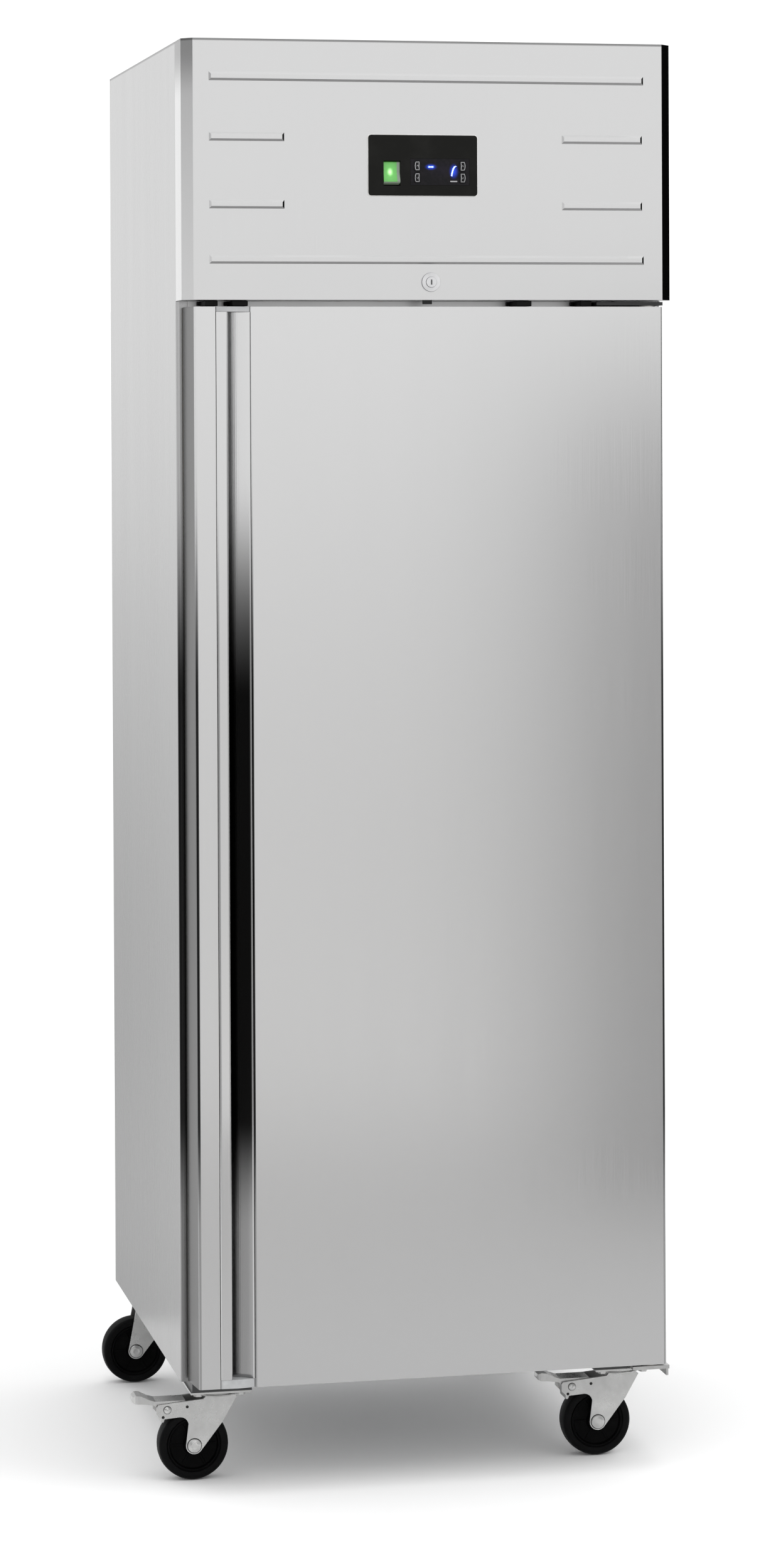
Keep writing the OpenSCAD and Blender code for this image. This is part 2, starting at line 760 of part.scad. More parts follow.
// Three foam slabs: left of the trough, behind it and right of it
module door_insulation() {
    z0 = door_bottom_z + sheet + gap;
    z1 = door_top_z - sheet - gap;
    n = sheet + gap;
    y1 = door_t - sheet - gap;
    color("khaki") place() {
        translate([0, 0, z0]) linear_extrude(z1 - z0) polygon([
            [handle_x0 - n, y1], [handle_x0 - n, n], [-door_half_w + door_corner_r, n],
            [-door_half_w + n, door_corner_r], [-door_half_w - door_flare + n + 0.2, y1]]);
        block([handle_x0 - n + gap, trough_y + n, z0], [handle_x1 + n - gap, y1, z1]);
        difference() {
            translate([0, 0, z0]) linear_extrude(z1 - z0) polygon([
                [handle_x1 + n, y1], [handle_x1 + n, edge_r], [handle_x1 + edge_r, n],
                [door_half_w - door_corner_r, n], [door_half_w - n, door_corner_r],
                [door_half_w + door_flare - n - 0.2, y1]]);
            hinge_bores(bush_r + gap, z0 - 1, door_bottom_z + bush_len + 1);
            hinge_bores(bush_r + gap, door_top_z - bush_len - 1, z1 + 1);
        }
    }
}

// Inner sheet with a raised field inside the gasket
module door_liner() {
    field_x = liner_x - 14;
    color("gainsboro") place() {
        block([-door_half_w - 1, door_t - sheet, door_bottom_z], [door_half_w + 1, door_t, door_top_z]);
        block([-field_x, door_t - 0.2, liner_floor_z + 12], [field_x, body_y - 1, liner_top_z - 12]);
    }
}

// Mitred magnetic seal, four strips
module door_gasket() {
    inner_x = gasket_x - gasket_w;
    y = [door_t, body_y];
    color([0.12, 0.12, 0.12]) place() {
        for (side = [0, 1]) mirror([side, 0, 0]) facing(y[0], y[1])
            polygon([[inner_x, gasket_z0 + gasket_w], [gasket_x, gasket_z0], [gasket_x, gasket_z1],
                     [inner_x, gasket_z1 - gasket_w]]);
        facing(y[0], y[1]) polygon([
            [-gasket_x + gap, gasket_z0], [gasket_x - gap, gasket_z0],
            [inner_x - gap, gasket_z0 + gasket_w], [-inner_x + gap, gasket_z0 + gasket_w]]);
        facing(y[0], y[1]) polygon([
            [-gasket_x + gap, gasket_z1], [gasket_x - gap, gasket_z1],
            [inner_x - gap, gasket_z1 - gasket_w], [-inner_x + gap, gasket_z1 - gasket_w]]);
    }
}

// Full-height handle: a proud lip on the left that hangs over a quarter-round finger cove
module handle_profile() {
    x0 = handle_x0 + gap;
    x1 = handle_x1 - gap;
    cove_x = lip_x + cove_w - cove_r * cos(cove_steep);
    cove_y = 0.3 - cove_r * sin(cove_steep);
    color("silver") place()
        translate([0, 0, door_bottom_z + cap_h_bottom + gap])
            linear_extrude(door_top_z - door_bottom_z - cap_h_top - cap_h_bottom - 2 * gap)
                polygon(concat(
                    [[x0, trough_y - gap], [x0, 1.5]],
                    arc(x0 + 3.5, 1.5, 3.5, 180, 270, 5),
                    arc(lip_x - 3, 1, 3, 270, 360, 5),
                    [[lip_x, lip_t], [lip_x - lip_undercut, lip_t + 1],
                     [lip_x - lip_undercut, pocket_y - 1], [lip_x - 1, pocket_y]],
                    arc(cove_x, cove_y, cove_r, cove_shallow, cove_steep, 12),
                    [[x1, 0], [x1, trough_y - gap]]));
}

// End plugs that close the handle's trough
module handle_caps() {
    x0 = handle_x0 + gap;
    x1 = handle_x1 - gap;
    color("gainsboro") place() for (z = [[door_bottom_z, door_bottom_z + cap_h_bottom],
                                         [door_top_z - cap_h_top, door_top_z]])
        translate([0, 0, z[0]]) linear_extrude(z[1] - z[0]) polygon(concat(
            [[x0, trough_y - gap]],
            arc(x0 + 3.5, 2.5, 3.5, 180, 270, 5),
            [[(x0 + x1) / 2, -lip_proud], [x1 - 6, 0.5], [x1, 2], [x1, trough_y - gap]]));
}

// ---------- hinges ----------

module hinge_bracket_top() {
    z0 = door_top_z + 2;
    z1 = z0 + 5;
    color("dimgray") place() {
        block([hinge_x - 76, hinge_y - 12, z0], [hinge_x + 20, body_y, z1]);
        bar_z(hinge_x, hinge_y, hinge_pin_r, door_top_z - bush_len, z0 + 0.5);
    }
}

module hinge_bracket_bottom() {
    z1 = base_z - 0.2;
    z0 = z1 - 5;
    x1 = half_w - 8.5;
    color("darkgray") place() {
        block([hinge_x - 30, hinge_y - 14, z0], [x1, rail_y0 - 1, z1]);
        block([x1 - 3, hinge_y - 8, rail_z + 2], [x1, rail_y0 - 2, z0 + 1]);
        bar_z(hinge_x, hinge_y, hinge_pin_r, z1 - 1, door_bottom_z + bush_len);
    }
}

// Flanged nylon bushes in the door's ends
module hinge_bushes() {
    r = hinge_pin_r + run_fit;
    color("white") place() {
        difference() {
            union() {
                bar_z(hinge_x, hinge_y, bush_r, door_bottom_z, door_bottom_z + bush_len);
                bar_z(hinge_x, hinge_y, bush_r + 2, base_z - 0.1, door_bottom_z);
            }
            bar_z(hinge_x, hinge_y, r, base_z - 1, door_bottom_z + bush_len + 1);
        }
        difference() {
            union() {
                bar_z(hinge_x, hinge_y, bush_r, door_top_z - bush_len, door_top_z);
                bar_z(hinge_x, hinge_y, bush_r + 2, door_top_z, door_top_z + 1.9);
            }
            bar_z(hinge_x, hinge_y, r, door_top_z - bush_len - 1, door_top_z + 3);
        }
    }
}

// ---------- castors ----------

// Child drawn round the origin is repeated at the four swivel axes
module at_castor(side, y) {
    translate([side * castor_x, y, 0]) children();
}

// Top plate, race ring and kingpin of each castor
module castor_plates() {
    plate_z = rail_z - castor_plate_t;
    half = castor_plate / 2;
    color("lightgray") place()
        for (side = [-1, 1], y = [castor_y_front, castor_y_rear]) at_castor(side, y) {
            difference() {
                block([-half, -half, plate_z], [half, half, rail_z]);
                for (dx = [-1, 1], dy = [-1, 1])
                    bar_z(dx * bolt_pitch / 2, dy * bolt_pitch / 2, bolt_r + 0.25, plate_z - 1, rail_z + 1);
            }
            bar_z(0, 0, 27, crown_top + 2, plate_z + 0.5);
            bar_z(0, 0, kingpin_r, crown_top - 7, crown_top + 3);
            bar_z(0, 0, kingpin_r + 3, crown_top - 8, crown_top - 3.1);
        }
}

// Hexagon bolts through the plates and rails, with their nuts inside the rails
module castor_bolts() {
    plate_z = rail_z - castor_plate_t;
    head_h = 4.5;
    nut_h = 6;
    color("whitesmoke") place()
        for (side = [-1, 1], y = [castor_y_front, castor_y_rear], dx = [-1, 1], dy = [-1, 1])
            translate([side * castor_x + dx * bolt_pitch / 2, y + dy * bolt_pitch / 2, 0]) {
                bar_z(0, 0, 6.5, plate_z - head_h, plate_z, 6);
                bar_z(0, 0, bolt_r, plate_z - 1, rail_z + rail_t + nut_h + 2);
                bar_z(0, 0, 6.5, rail_z + rail_t, rail_z + rail_t + nut_h, 6);
            }
}

// Side outline of a fork cheek in X and Z; a braked one has an arm that carries the pedal
module cheek_outline(braked) {
    foot = arc(axle_x, wheel_r, 12, 180, 328, 8);
    back = [[7, crown_top - 38], [26, crown_top - 5], [20, crown_top]];
    arm = [[-15, crown_top], [-21, crown_top - 6], [pedal_x - 13, crown_top - 12],
           [pedal_x - 15, crown_top - 15], [pedal_x - 15, crown_top - 25], [pedal_x - 8, crown_top - 32],
           [-54, crown_top - 30]];
    plain = [[-30, crown_top], [-34, crown_top - 8]];
    polygon(braked ? concat(foot, back, arm, arc(-54, crown_top - 42, 12, 90, 10, 4)) :
                     concat(foot, back, plain));
}

// Pressed fork: two cheeks, crown, swivel race and the riveted axle
module fork_shape(braked) {
    outer = cheek_in + cheek_t;
    left = braked ? -15 : -30;
    difference() {
        union() {
            for (y = [-outer, cheek_in]) facing(y, y + cheek_t) cheek_outline(braked);
            block([left, -outer, crown_top - 3], [20, outer, crown_top]);
            bar_z(0, 0, 28, crown_top - 1, crown_top + 1.9);
        }
        bar_z(0, 0, kingpin_r + run_fit, crown_top - 4, crown_top + 3);
    }
    bar_y(axle_x, wheel_r, axle_r, -outer - 0.5, outer + 0.5);
    for (y = [-outer - 2.5, outer]) bar_y(axle_x, wheel_r, 9, y, y + 2.5);
    if (braked) {
        bar_y(pedal_x, pedal_z, pedal_pin_r, -outer - 0.5, outer + 0.5);
        for (y = [-outer - 1.5, outer]) bar_y(pedal_x, pedal_z, 5, y, y + 1.5);
    }
}

module castor_fork_front_left() {
    color("silver") place() at_castor(-1, castor_y_front) fork_shape(true);
}

module castor_fork_front_right() {
    color("silver") place() at_castor(1, castor_y_front) fork_shape(true);
}

module castor_fork_rear_left() {
    color("silver") place() at_castor(-1, castor_y_rear) fork_shape(false);
}

module castor_fork_rear_right() {
    color("silver") place() at_castor(1, castor_y_rear) fork_shape(false);
}

// Turned wheel: hub, thin web and a tread with rounded shoulders
module wheel_shape() {
    tread = 16;
    shoulder = 5;
    hub_r = 13;
    rim_r = wheel_r - 13;
    half = concat(
        [[axle_r + run_fit, 17.2], [hub_r, 17.2], [hub_r + 2, 12], [rim_r - 2, 12], [rim_r, tread]],
        arc(wheel_r - shoulder, tread - shoulder, shoulder, 90, 0, 5));
    color([0.05, 0.05, 0.05]) translate([axle_x, 0, wheel_r]) rotate([90, 0, 0]) rotate_extrude()
        polygon(concat(half, [for (i = [len(half) - 1:-1:0]) [half[i][0], -half[i][1]]]));
}

module wheel_front_left() {
    place() at_castor(-1, castor_y_front) wheel_shape();
}

module wheel_front_right() {
    place() at_castor(1, castor_y_front) wheel_shape();
}

module wheel_rear_left() {
    place() at_castor(-1, castor_y_rear) wheel_shape();
}

module wheel_rear_right() {
    place() at_castor(1, castor_y_rear) wheel_shape();
}

// Brake pedal: a leaf that curves up at the toe, and a shoe that hangs before the tread
module pedal_shape() {
    toe = -pedal_reach;
    w = pedal_half_w;
    color("gray") difference() {
        intersection() {
            facing(-w, w) polygon([
                [toe, 115.5], [toe + 1.5, 120], [toe + 6, 122.5], [toe + 13, 122], [toe + 24, 116.5],
                [toe + 33, 113.5], [-70, 113.5], [-46, 113.5], [-45, 107], [-66, 106], [-66, 98], [-73, 94],
                [-77, 84], [-80, 84], [-81, 94], [-84, 102], [-90, 108], [toe + 22, 110],
                [toe + 13, 111], [toe + 5, 111], [toe + 1.5, 112.5]]);
            translate([0, 0, 70]) linear_extrude(60) polygon(concat(
                [[-40, w], [toe + 12, w]], arc(toe + 12, w - 12, 12, 90, 180, 5),
                arc(toe + 12, -w + 12, 12, 180, 270, 5), [[-40, -w]]));
        }
        bar_y(pedal_x, pedal_z, pedal_pin_r + run_fit, -w - 1, w + 1);
    }
}

module brake_pedal_left() {
    place() at_castor(-1, castor_y_front) pedal_shape();
}

module brake_pedal_right() {
    place() at_castor(1, castor_y_front) pedal_shape();
}

side_panel_left();
side_panel_right();
back_panel();
bottom_panel();
base_rails();
cabinet_insulation();
inner_liner();
front_frame();
compartment_floor();
rear_grille();
fascia_panel();
control_bezel();
controller();
rocker_switch();
key_upper_left();
key_lower_left();
key_upper_right();
key_lower_right();
lock_housing();
lock_barrel();
lock_bolt();
compressor();
condenser_coil();
condenser_shroud();
condenser_fan_motor();
condenser_fan();
refrigerant_pipes();
electrical_box();
cable_gland();
evaporator_coil();
evaporator_cover();
evaporator_fan_motor();
evaporator_fan();
fan_guard();
shelf_uprights();
shelf_runners();
shelf_lower();
shelf_middle();
shelf_upper();
hinge_bracket_top();
hinge_bracket_bottom();
hinge_bushes();
door_skin();
door_insulation();
door_liner();
door_gasket();
handle_profile();
handle_caps();
castor_plates();
castor_bolts();
castor_fork_front_left();
castor_fork_front_right();
castor_fork_rear_left();
castor_fork_rear_right();
wheel_front_left();
wheel_front_right();
wheel_rear_left();
wheel_rear_right();
brake_pedal_left();
brake_pedal_right();
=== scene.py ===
"""Upright one-door reach-in refrigerator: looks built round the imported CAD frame."""
import json
import math

import bmesh
import bpy
from mathutils import Matrix, Vector


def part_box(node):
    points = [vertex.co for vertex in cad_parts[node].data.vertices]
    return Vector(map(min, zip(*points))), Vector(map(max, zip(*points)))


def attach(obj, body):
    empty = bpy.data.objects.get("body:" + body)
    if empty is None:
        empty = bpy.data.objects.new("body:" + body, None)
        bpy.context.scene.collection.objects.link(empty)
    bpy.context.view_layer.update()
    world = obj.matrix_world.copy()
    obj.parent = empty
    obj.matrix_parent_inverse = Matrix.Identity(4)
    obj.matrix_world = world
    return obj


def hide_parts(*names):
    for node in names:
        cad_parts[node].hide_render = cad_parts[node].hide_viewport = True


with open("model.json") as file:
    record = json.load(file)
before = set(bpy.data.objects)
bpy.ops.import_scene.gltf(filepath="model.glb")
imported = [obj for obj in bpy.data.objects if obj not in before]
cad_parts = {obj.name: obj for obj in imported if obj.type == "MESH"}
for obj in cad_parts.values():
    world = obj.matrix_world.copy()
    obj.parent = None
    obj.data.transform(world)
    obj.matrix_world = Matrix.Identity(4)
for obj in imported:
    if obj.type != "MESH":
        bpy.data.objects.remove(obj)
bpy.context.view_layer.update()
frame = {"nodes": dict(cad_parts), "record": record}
nodes = frame["nodes"]
MM = 0.001

# The cabinet's own axes: x = 0 in the middle, y = 0 at the door's front, z = 0 on the floor
PANEL_LO, PANEL_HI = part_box("fascia_panel")
MIDDLE_X = (PANEL_LO.x + PANEL_HI.x) / 2
FRONT_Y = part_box("door_skin")[0].y


def at(x, y, z):
    """A point given in the cabinet's own millimetres, in the row frame in metres."""
    return Vector((MIDDLE_X + x * MM, FRONT_Y + y * MM, z * MM))


def local_box(node):
    """A CAD node's box in the cabinet's own millimetres."""
    lo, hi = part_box(node)
    shift = Vector((MIDDLE_X, FRONT_Y, 0))
    return (lo - shift) / MM, (hi - shift) / MM


# ---------- materials ----------

class Look:
    """A node material: a principled shader with textures in the object's own metres."""

    def __init__(self, name):
        self.material = bpy.data.materials.new(name)
        self.material.use_nodes = True
        self.tree = self.material.node_tree
        self.tree.nodes.clear()
        self.shader = self.node("ShaderNodeBsdfPrincipled")
        self.output = self.node("ShaderNodeOutputMaterial")
        self.join(self.shader.outputs["BSDF"], self.output.inputs["Surface"])
        place = self.node("ShaderNodeTexCoord")
        self.coords = place.outputs["Object"]
        self.facing = place.outputs["Normal"]

    def node(self, kind, **settings):
        made = self.tree.nodes.new(kind)
        for key, value in settings.items():
            setattr(made, key, value)
        return made

    def join(self, source, target):
        self.tree.links.new(source, target)

    def feed(self, target, value):
        """Puts a socket's output, a number or a colour into an input."""
        if isinstance(value, bpy.types.NodeSocket):
            self.join(value, target)
        elif isinstance(value, tuple) and len(value) == 3 and target.type == "RGBA":
            target.default_value = (*value, 1.0)
        else:
            target.default_value = value

    def set(self, **values):
        for key, value in values.items():
            self.feed(self.shader.inputs[key.replace("_", " ")], value)

    def scaled(self, scale, turn=(0, 0, 0)):
        mapping = self.node("ShaderNodeMapping")
        self.join(self.coords, mapping.inputs["Vector"])
        mapping.inputs["Scale"].default_value = scale
        mapping.inputs["Rotation"].default_value = turn
        return mapping.outputs["Vector"]

    def noise(self, scale, detail=3.0, roughness=0.5):
        """Noise with its own scale along each axis, per metre."""
        made = self.node("ShaderNodeTexNoise")
        self.join(self.scaled(scale), made.inputs["Vector"])
        made.inputs["Scale"].default_value = 1.0
        made.inputs["Detail"].default_value = detail
        made.inputs["Roughness"].default_value = roughness
        return made.outputs["Fac"]

    def cells(self, scale, feature="F1"):
        made = self.node("ShaderNodeTexVoronoi", feature=feature)
        self.join(self.scaled((scale,) * 3), made.inputs["Vector"])
        made.inputs["Scale"].default_value = 1.0
        return made

    def spread(self, source, low, high, start=0.25, end=0.75):
        """The source's start to end taken to low to high, with soft ends."""
        made = self.node("ShaderNodeMapRange", interpolation_type="SMOOTHSTEP")
        self.join(source, made.inputs["Value"])
        for key, value in (("From Min", start), ("From Max", end), ("To Min", low), ("To Max", high)):
            made.inputs[key].default_value = value
        return made.outputs["Result"]

    def blend(self, factor, first, second, way="MIX"):
        made = self.node("ShaderNodeMix", data_type="RGBA", blend_type=way)
        colours = [socket for socket in made.inputs if socket.type == "RGBA"]
        self.feed(made.inputs[0], factor)
        self.feed(colours[0], first)
        self.feed(colours[1], second)
        return next(socket for socket in made.outputs if socket.type == "RGBA")

    def maths(self, way, first, second=0.0):
        made = self.node("ShaderNodeMath", operation=way)
        self.feed(made.inputs[0], first)
        self.feed(made.inputs[1], second)
        return made.outputs[0]

    def part(self, source, axis):
        made = self.node("ShaderNodeSeparateXYZ")
        self.join(source, made.inputs[0])
        return made.outputs[axis]

    def near(self, point, radius, stretch=(1.0, 1.0, 1.0)):
        """One at a point, fading to nothing at the radius in metres."""
        shifted = self.node("ShaderNodeVectorMath", operation="SUBTRACT")
        self.join(self.coords, shifted.inputs[0])
        shifted.inputs[1].default_value = point
        scaled = self.node("ShaderNodeVectorMath", operation="MULTIPLY")
        self.join(shifted.outputs[0], scaled.inputs[0])
        scaled.inputs[1].default_value = stretch
        length = self.node("ShaderNodeVectorMath", operation="LENGTH")
        self.join(scaled.outputs[0], length.inputs[0])
        return self.spread(length.outputs["Value"], 1.0, 0.0, 0.0, radius)

    def bump(self, height, strength, distance, edge=0.0):
        """A bump of this height in metres, over edges rounded in shading by the edge radius."""
        made = self.node("ShaderNodeBump")
        made.inputs["Strength"].default_value = strength
        made.inputs["Distance"].default_value = distance
        self.join(height, made.inputs["Height"])
        if edge:
            rounded = self.node("ShaderNodeBevel", samples=4)
            rounded.inputs["Radius"].default_value = edge
            self.join(rounded.outputs["Normal"], made.inputs["Normal"])
        self.join(made.outputs["Normal"], self.shader.inputs["Normal"])


# Heights in metres over which the painted shade of the steel fades in above the floor, and out again
SHADE_FOOT = (0.36, 0.52)
SHADE_TOP = (1.10, 1.42)
STEEL_METALLIC = 0.97


def brushed_steel(name, tone, roughness, along="z", edge=0.0006, depth=0.86, trim=None,
                  fold=0.0, shaded="", shade=0.02):
    """Satin stainless steel, brushed along one axis, with a painted shade that darkens it a little towards
    the floor and a painted dark line along the top edge. Faces turned sideways can be given a trim colour: a
    dark trim whose colour also paints the shade on the door's side. With a fold tone, folds that face the
    front right take it as a painted dark reflection, the top of the left folds takes a painted dark
    reflection and undersides take a painted shade. The shaded part (the recess, the corners or the flange)
    has a painted shade and painted dark reflection over the middle of its height."""
    look = Look(name)
    grain = {"x": (6, 1100, 1100), "y": (1100, 6, 1100), "z": (1100, 1100, 6)}[along]
    broad = {"x": (0.5, 16, 16), "y": (16, 0.5, 16), "z": (16, 16, 0.5)}[along]
    fine = look.noise(grain, 4.0, 0.65)
    wide = look.noise(broad, 3.0, 0.5)
    cloud = look.noise((1.6, 1.6, 0.9), 2.0, 0.4)
    # Painted shade: the colour darkens towards the floor, to the depth share at 0.1 m and not at all at 2 m.
    low = look.spread(look.part(look.coords, 2), depth, 1.0, 0.1, 2.0)
    dark = tuple(tone * k for k in (0.985, 0.985, 0.988))
    pale = tuple(tone * k for k in (1.005, 1.005, 1.007))
    colour = look.blend(look.spread(fine, 0.0, 1.0, 0.3, 0.7), dark, pale)
    smudge = look.blend(look.spread(cloud, 0.0, 0.5, 0.35, 0.7), colour, dark)
    painted_low_shade = look.node("ShaderNodeCombineColor")
    for channel in ("Red", "Green", "Blue"):
        look.join(low, painted_low_shade.inputs[channel])
    colour = look.blend(1.0, smudge, painted_low_shade.outputs[0], "MULTIPLY")
    height = look.part(look.coords, 2)
    # Painted dark reflection: a dark line along the top edge, on the bend where the panels turn over.
    rim = look.spread(height, 0.0, 0.65, PANEL_HI.z - 4 * MM, PANEL_HI.z - 2 * MM)
    colour = look.blend(rim, colour, (0.05, 0.05, 0.05))
    metal = STEEL_METALLIC
    sideways = look.part(look.facing, 0)
    turned = look.maths("ABSOLUTE", sideways)
    # Painted shade and painted dark reflection over the middle of the height, in the recess, the corners or
    # the flange.
    if shaded:
        band = look.maths("MULTIPLY", look.spread(height, 1.0, 0.0, *SHADE_TOP),
                          look.spread(height, 0.42, 1.0, *SHADE_FOOT))
        behind_front = look.part(look.coords, 1)
        where = {
            "recess": look.spread(behind_front, 0.0, 1.0, FRONT_Y + 0.4 * MM, FRONT_Y + 2 * MM),
            "corner": look.maths("MULTIPLY", look.spread(turned, 0.0, 1.0, 0.04, 0.16),
                                 look.spread(turned, 1.0, 0.0, 0.90, 0.97)),
            "flange": look.spread(turned, 1.0, 0.0, 0.80, 0.97),
        }[shaded]
        colour = look.blend(look.maths("MULTIPLY", where, band), colour, (shade, shade, shade))
    # A dark, dull trim on the faces turned sideways; its dark colour also paints the shade on the door's
    # side.
    if trim:
        mask = look.spread(turned, 0.0, 1.0, 0.90, 0.97)
        colour = look.blend(mask, colour, trim)
        metal = look.spread(mask, STEEL_METALLIC, 0.10, 0.0, 1.0)
    rough = look.maths("ADD", look.spread(fine, -0.015, 0.02, 0.3, 0.7),
                       look.spread(wide, roughness - 0.01, roughness + 0.01))
    if fold:
        # Painted dark reflection on the folds that face the front right.
        painted_fold_reflection = look.maths("MULTIPLY", look.spread(sideways, 0.0, 1.0, 0.45, 0.60),
                          look.spread(sideways, 1.0, 0.0, 0.80, 0.95))
        colour = look.blend(painted_fold_reflection, colour, (fold, fold, fold))
        # Painted dark reflection at the top of the left folds.
        crown = look.maths("MULTIPLY", look.spread(sideways, 0.85, 0.0, -0.80, -0.60),
                           look.spread(height, 0.0, 1.0, PANEL_HI.z - 85 * MM, PANEL_HI.z - 15 * MM))
        colour = look.blend(crown, colour, (0.08, 0.08, 0.08))
        rough = look.maths("MULTIPLY", rough, look.spread(painted_fold_reflection, 1.0, 0.4, 0.0, 1.0))
        # Painted shade on the undersides.
        under = look.part(look.facing, 2)
        colour = look.blend(look.spread(under, 1.0, 0.0, -0.60, -0.30), colour, (0.30, 0.30, 0.30))
    look.set(Base_Color=colour, Metallic=metal, Roughness=rough, Anisotropic=0.3)
    look.bump(look.maths("ADD", fine, look.maths("MULTIPLY", wide, 0.3)), 0.012, 0.0002, edge)
    return look


def sheet_zinc(name, tone, roughness, spangle=55.0, edge=0.0005):
    """Galvanised sheet: large faint crystals over a dull metal."""
    look = Look(name)
    crystal = look.cells(spangle)
    facet = look.part(crystal.outputs["Color"], 0)
    cloud = look.noise((7, 7, 7), 3.0)
    dark = tuple(tone * k for k in (0.84, 0.86, 0.88))
    pale = (tone, tone * 1.005, tone * 1.01)
    colour = look.blend(look.spread(facet, 0.0, 1.0, 0.1, 0.9), dark, pale)
    look.set(Base_Color=look.blend(look.spread(cloud, 0.0, 0.4), colour, dark), Metallic=0.92,
             Roughness=look.spread(facet, roughness - 0.07, roughness + 0.08, 0.1, 0.9))
    look.bump(look.noise((350, 350, 350), 3.0), 0.12, 0.0002, edge)
    return look


def plated(name, colour, roughness, edge=0.0008, grain=260.0):
    """Zinc, chrome or copper: bright metal with handling marks and duller patches."""
    look = Look(name)
    cloud = look.noise((38, 38, 38), 4.0, 0.6)
    fine = look.noise((grain,) * 3, 4.0, 0.6)
    dull = tuple(c * 0.80 for c in colour)
    look.set(Base_Color=look.blend(look.spread(cloud, 0.0, 0.8), colour, dull), Metallic=1.0,
             Roughness=look.maths("ADD", look.spread(cloud, 0.0, 0.14),
                                  look.spread(fine, roughness - 0.03, roughness + 0.05)))
    look.bump(fine, 0.05, 0.0002, edge)
    return look


def moulded(name, colour, roughness, grain=1400.0, strength=0.25, edge=0.0006, sheen=0.0, gloss=0.3):
    """Moulded plastic or rubber with a spark-eroded grain, faint flow marks and scuffs."""
    look = Look(name)
    fine = look.noise((grain,) * 3, 2.0, 0.5)
    cloud = look.noise((22, 22, 22), 4.0, 0.6)
    scuff = tuple(min(1.0, c * 1.5 + 0.003) for c in colour)
    look.set(Base_Color=look.blend(look.spread(cloud, 0.0, 0.75, 0.4, 0.8), colour, scuff),
             Roughness=look.maths("ADD", look.spread(cloud, -0.05, 0.07),
                                  look.spread(fine, roughness - 0.04, roughness + 0.05)),
             Sheen_Weight=sheen, Specular_IOR_Level=gloss)
    look.bump(fine, strength, 0.00015, edge)
    return look


def enamel(name, colour, roughness=0.28, edge=0.0010):
    """Sprayed paint: a slight orange peel, patches of dust and a clear top."""
    look = Look(name)
    peel = look.noise((420, 420, 420), 2.0, 0.4)
    dust = look.noise((26, 26, 26), 5.0, 0.6)
    grey = tuple(min(1.0, c * 1.15 + 0.02) for c in colour)
    look.set(Base_Color=look.blend(look.spread(dust, 0.0, 0.8, 0.45, 0.8), colour, grey),
             Roughness=look.spread(dust, roughness, roughness + 0.18), Coat_Weight=0.25, Coat_Roughness=0.2)
    look.bump(peel, 0.18, 0.0002, edge)
    return look


def foam_look(name):
    look = Look(name)
    pores = look.cells(420.0)
    cloud = look.noise((15, 15, 15), 4.0)
    look.set(Base_Color=look.blend(look.spread(cloud, 0.0, 1.0), (0.78, 0.66, 0.38), (0.86, 0.77, 0.52)),
             Roughness=0.9, Subsurface_Weight=0.1)
    look.bump(pores.outputs["Distance"], 0.5, 0.0006)
    return look


def lit_lens(name):
    """The rocker's translucent green lens, lit from behind left of its middle."""
    look = Look(name)
    lo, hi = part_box("rocker_switch")
    spot = (lo.x * 0.60 + hi.x * 0.40, lo.y, lo.z * 0.46 + hi.z * 0.54)
    hot = look.near(spot, 0.0055, (1.0, 0.0, 0.7))
    wide = look.near(spot, 0.019, (1.0, 0.0, 0.75))
    haze = look.noise((380, 380, 380), 3.0)
    right = look.spread(look.part(look.coords, 0), 0.0, 1.0, hi.x - 0.0048, hi.x - 0.0036)
    below = look.spread(look.part(look.coords, 2), 1.0, 0.0, lo.z + 0.0026, lo.z + 0.0038)
    strip = look.maths("MAXIMUM", right, below)
    lit = look.blend(wide, (0.025, 0.11, 0.018), (0.12, 0.40, 0.085))
    body = look.blend(strip, lit, (0.12, 0.15, 0.11))
    green = look.blend(look.spread(haze, 0.0, 0.3), (0.055, 0.23, 0.045), (0.09, 0.30, 0.07))
    look.set(Base_Color=look.blend(strip, green, (0.10, 0.12, 0.10)),
             Emission_Color=look.blend(hot, body, (0.50, 1.0, 0.40)),
             Emission_Strength=look.spread(hot, 0.75, 1.6, 0.0, 1.0),
             Roughness=look.spread(haze, 0.14, 0.24), Coat_Weight=0.4)
    look.bump(look.noise((30, 30, 1100), 1.0), 0.25, 0.0003, 0.0008)
    return look


def display_window(name):
    """Smoked glossy plastic with the light of the digits spreading behind it."""
    look = Look(name)
    glow_dash = look.near(at(*DASH), 0.0075, (0.75, 0.0, 1.4))
    glow_digit = look.near(at(*DIGIT), 0.0105, (1.35, 0.0, 0.85))
    tint = look.near(at(14, 0, 1832), 0.030, (1.0, 0.0, 2.0))
    haze = look.noise((240, 240, 240), 3.0)
    glow = look.maths("MAXIMUM", glow_dash, glow_digit)
    look.set(Base_Color=look.blend(look.spread(haze, 0.0, 1.0), (0.004, 0.004, 0.005),
                                   (0.008, 0.007, 0.009)),
             Emission_Color=look.blend(glow, look.blend(tint, (0.0, 0.0, 0.0), (0.003, 0.002, 0.006)),
                                       (0.02, 0.06, 0.62)),
             Emission_Strength=look.spread(glow, 1.0, 1.3, 0.0, 1.0),
             Roughness=look.spread(haze, 0.16, 0.24), Specular_IOR_Level=0.14)
    look.bump(haze, 0.03, 0.0002, 0.0006)
    return look


def light_segment(name, colour, strength):
    look = Look(name)
    grain = look.noise((900, 900, 900), 2.0)
    look.set(Base_Color=colour, Emission_Color=colour, Roughness=look.spread(grain, 0.3, 0.5),
             Emission_Strength=look.spread(grain, strength * 0.9, strength * 1.1))
    look.bump(grain, 0.1, 0.0001)
    return look


# Centres of the lit dash and the lit digit on the controller, in cabinet millimetres
DASH = (0.0, 0.0, 1835.0)
DIGIT = (32.5, 0.0, 1829.0)

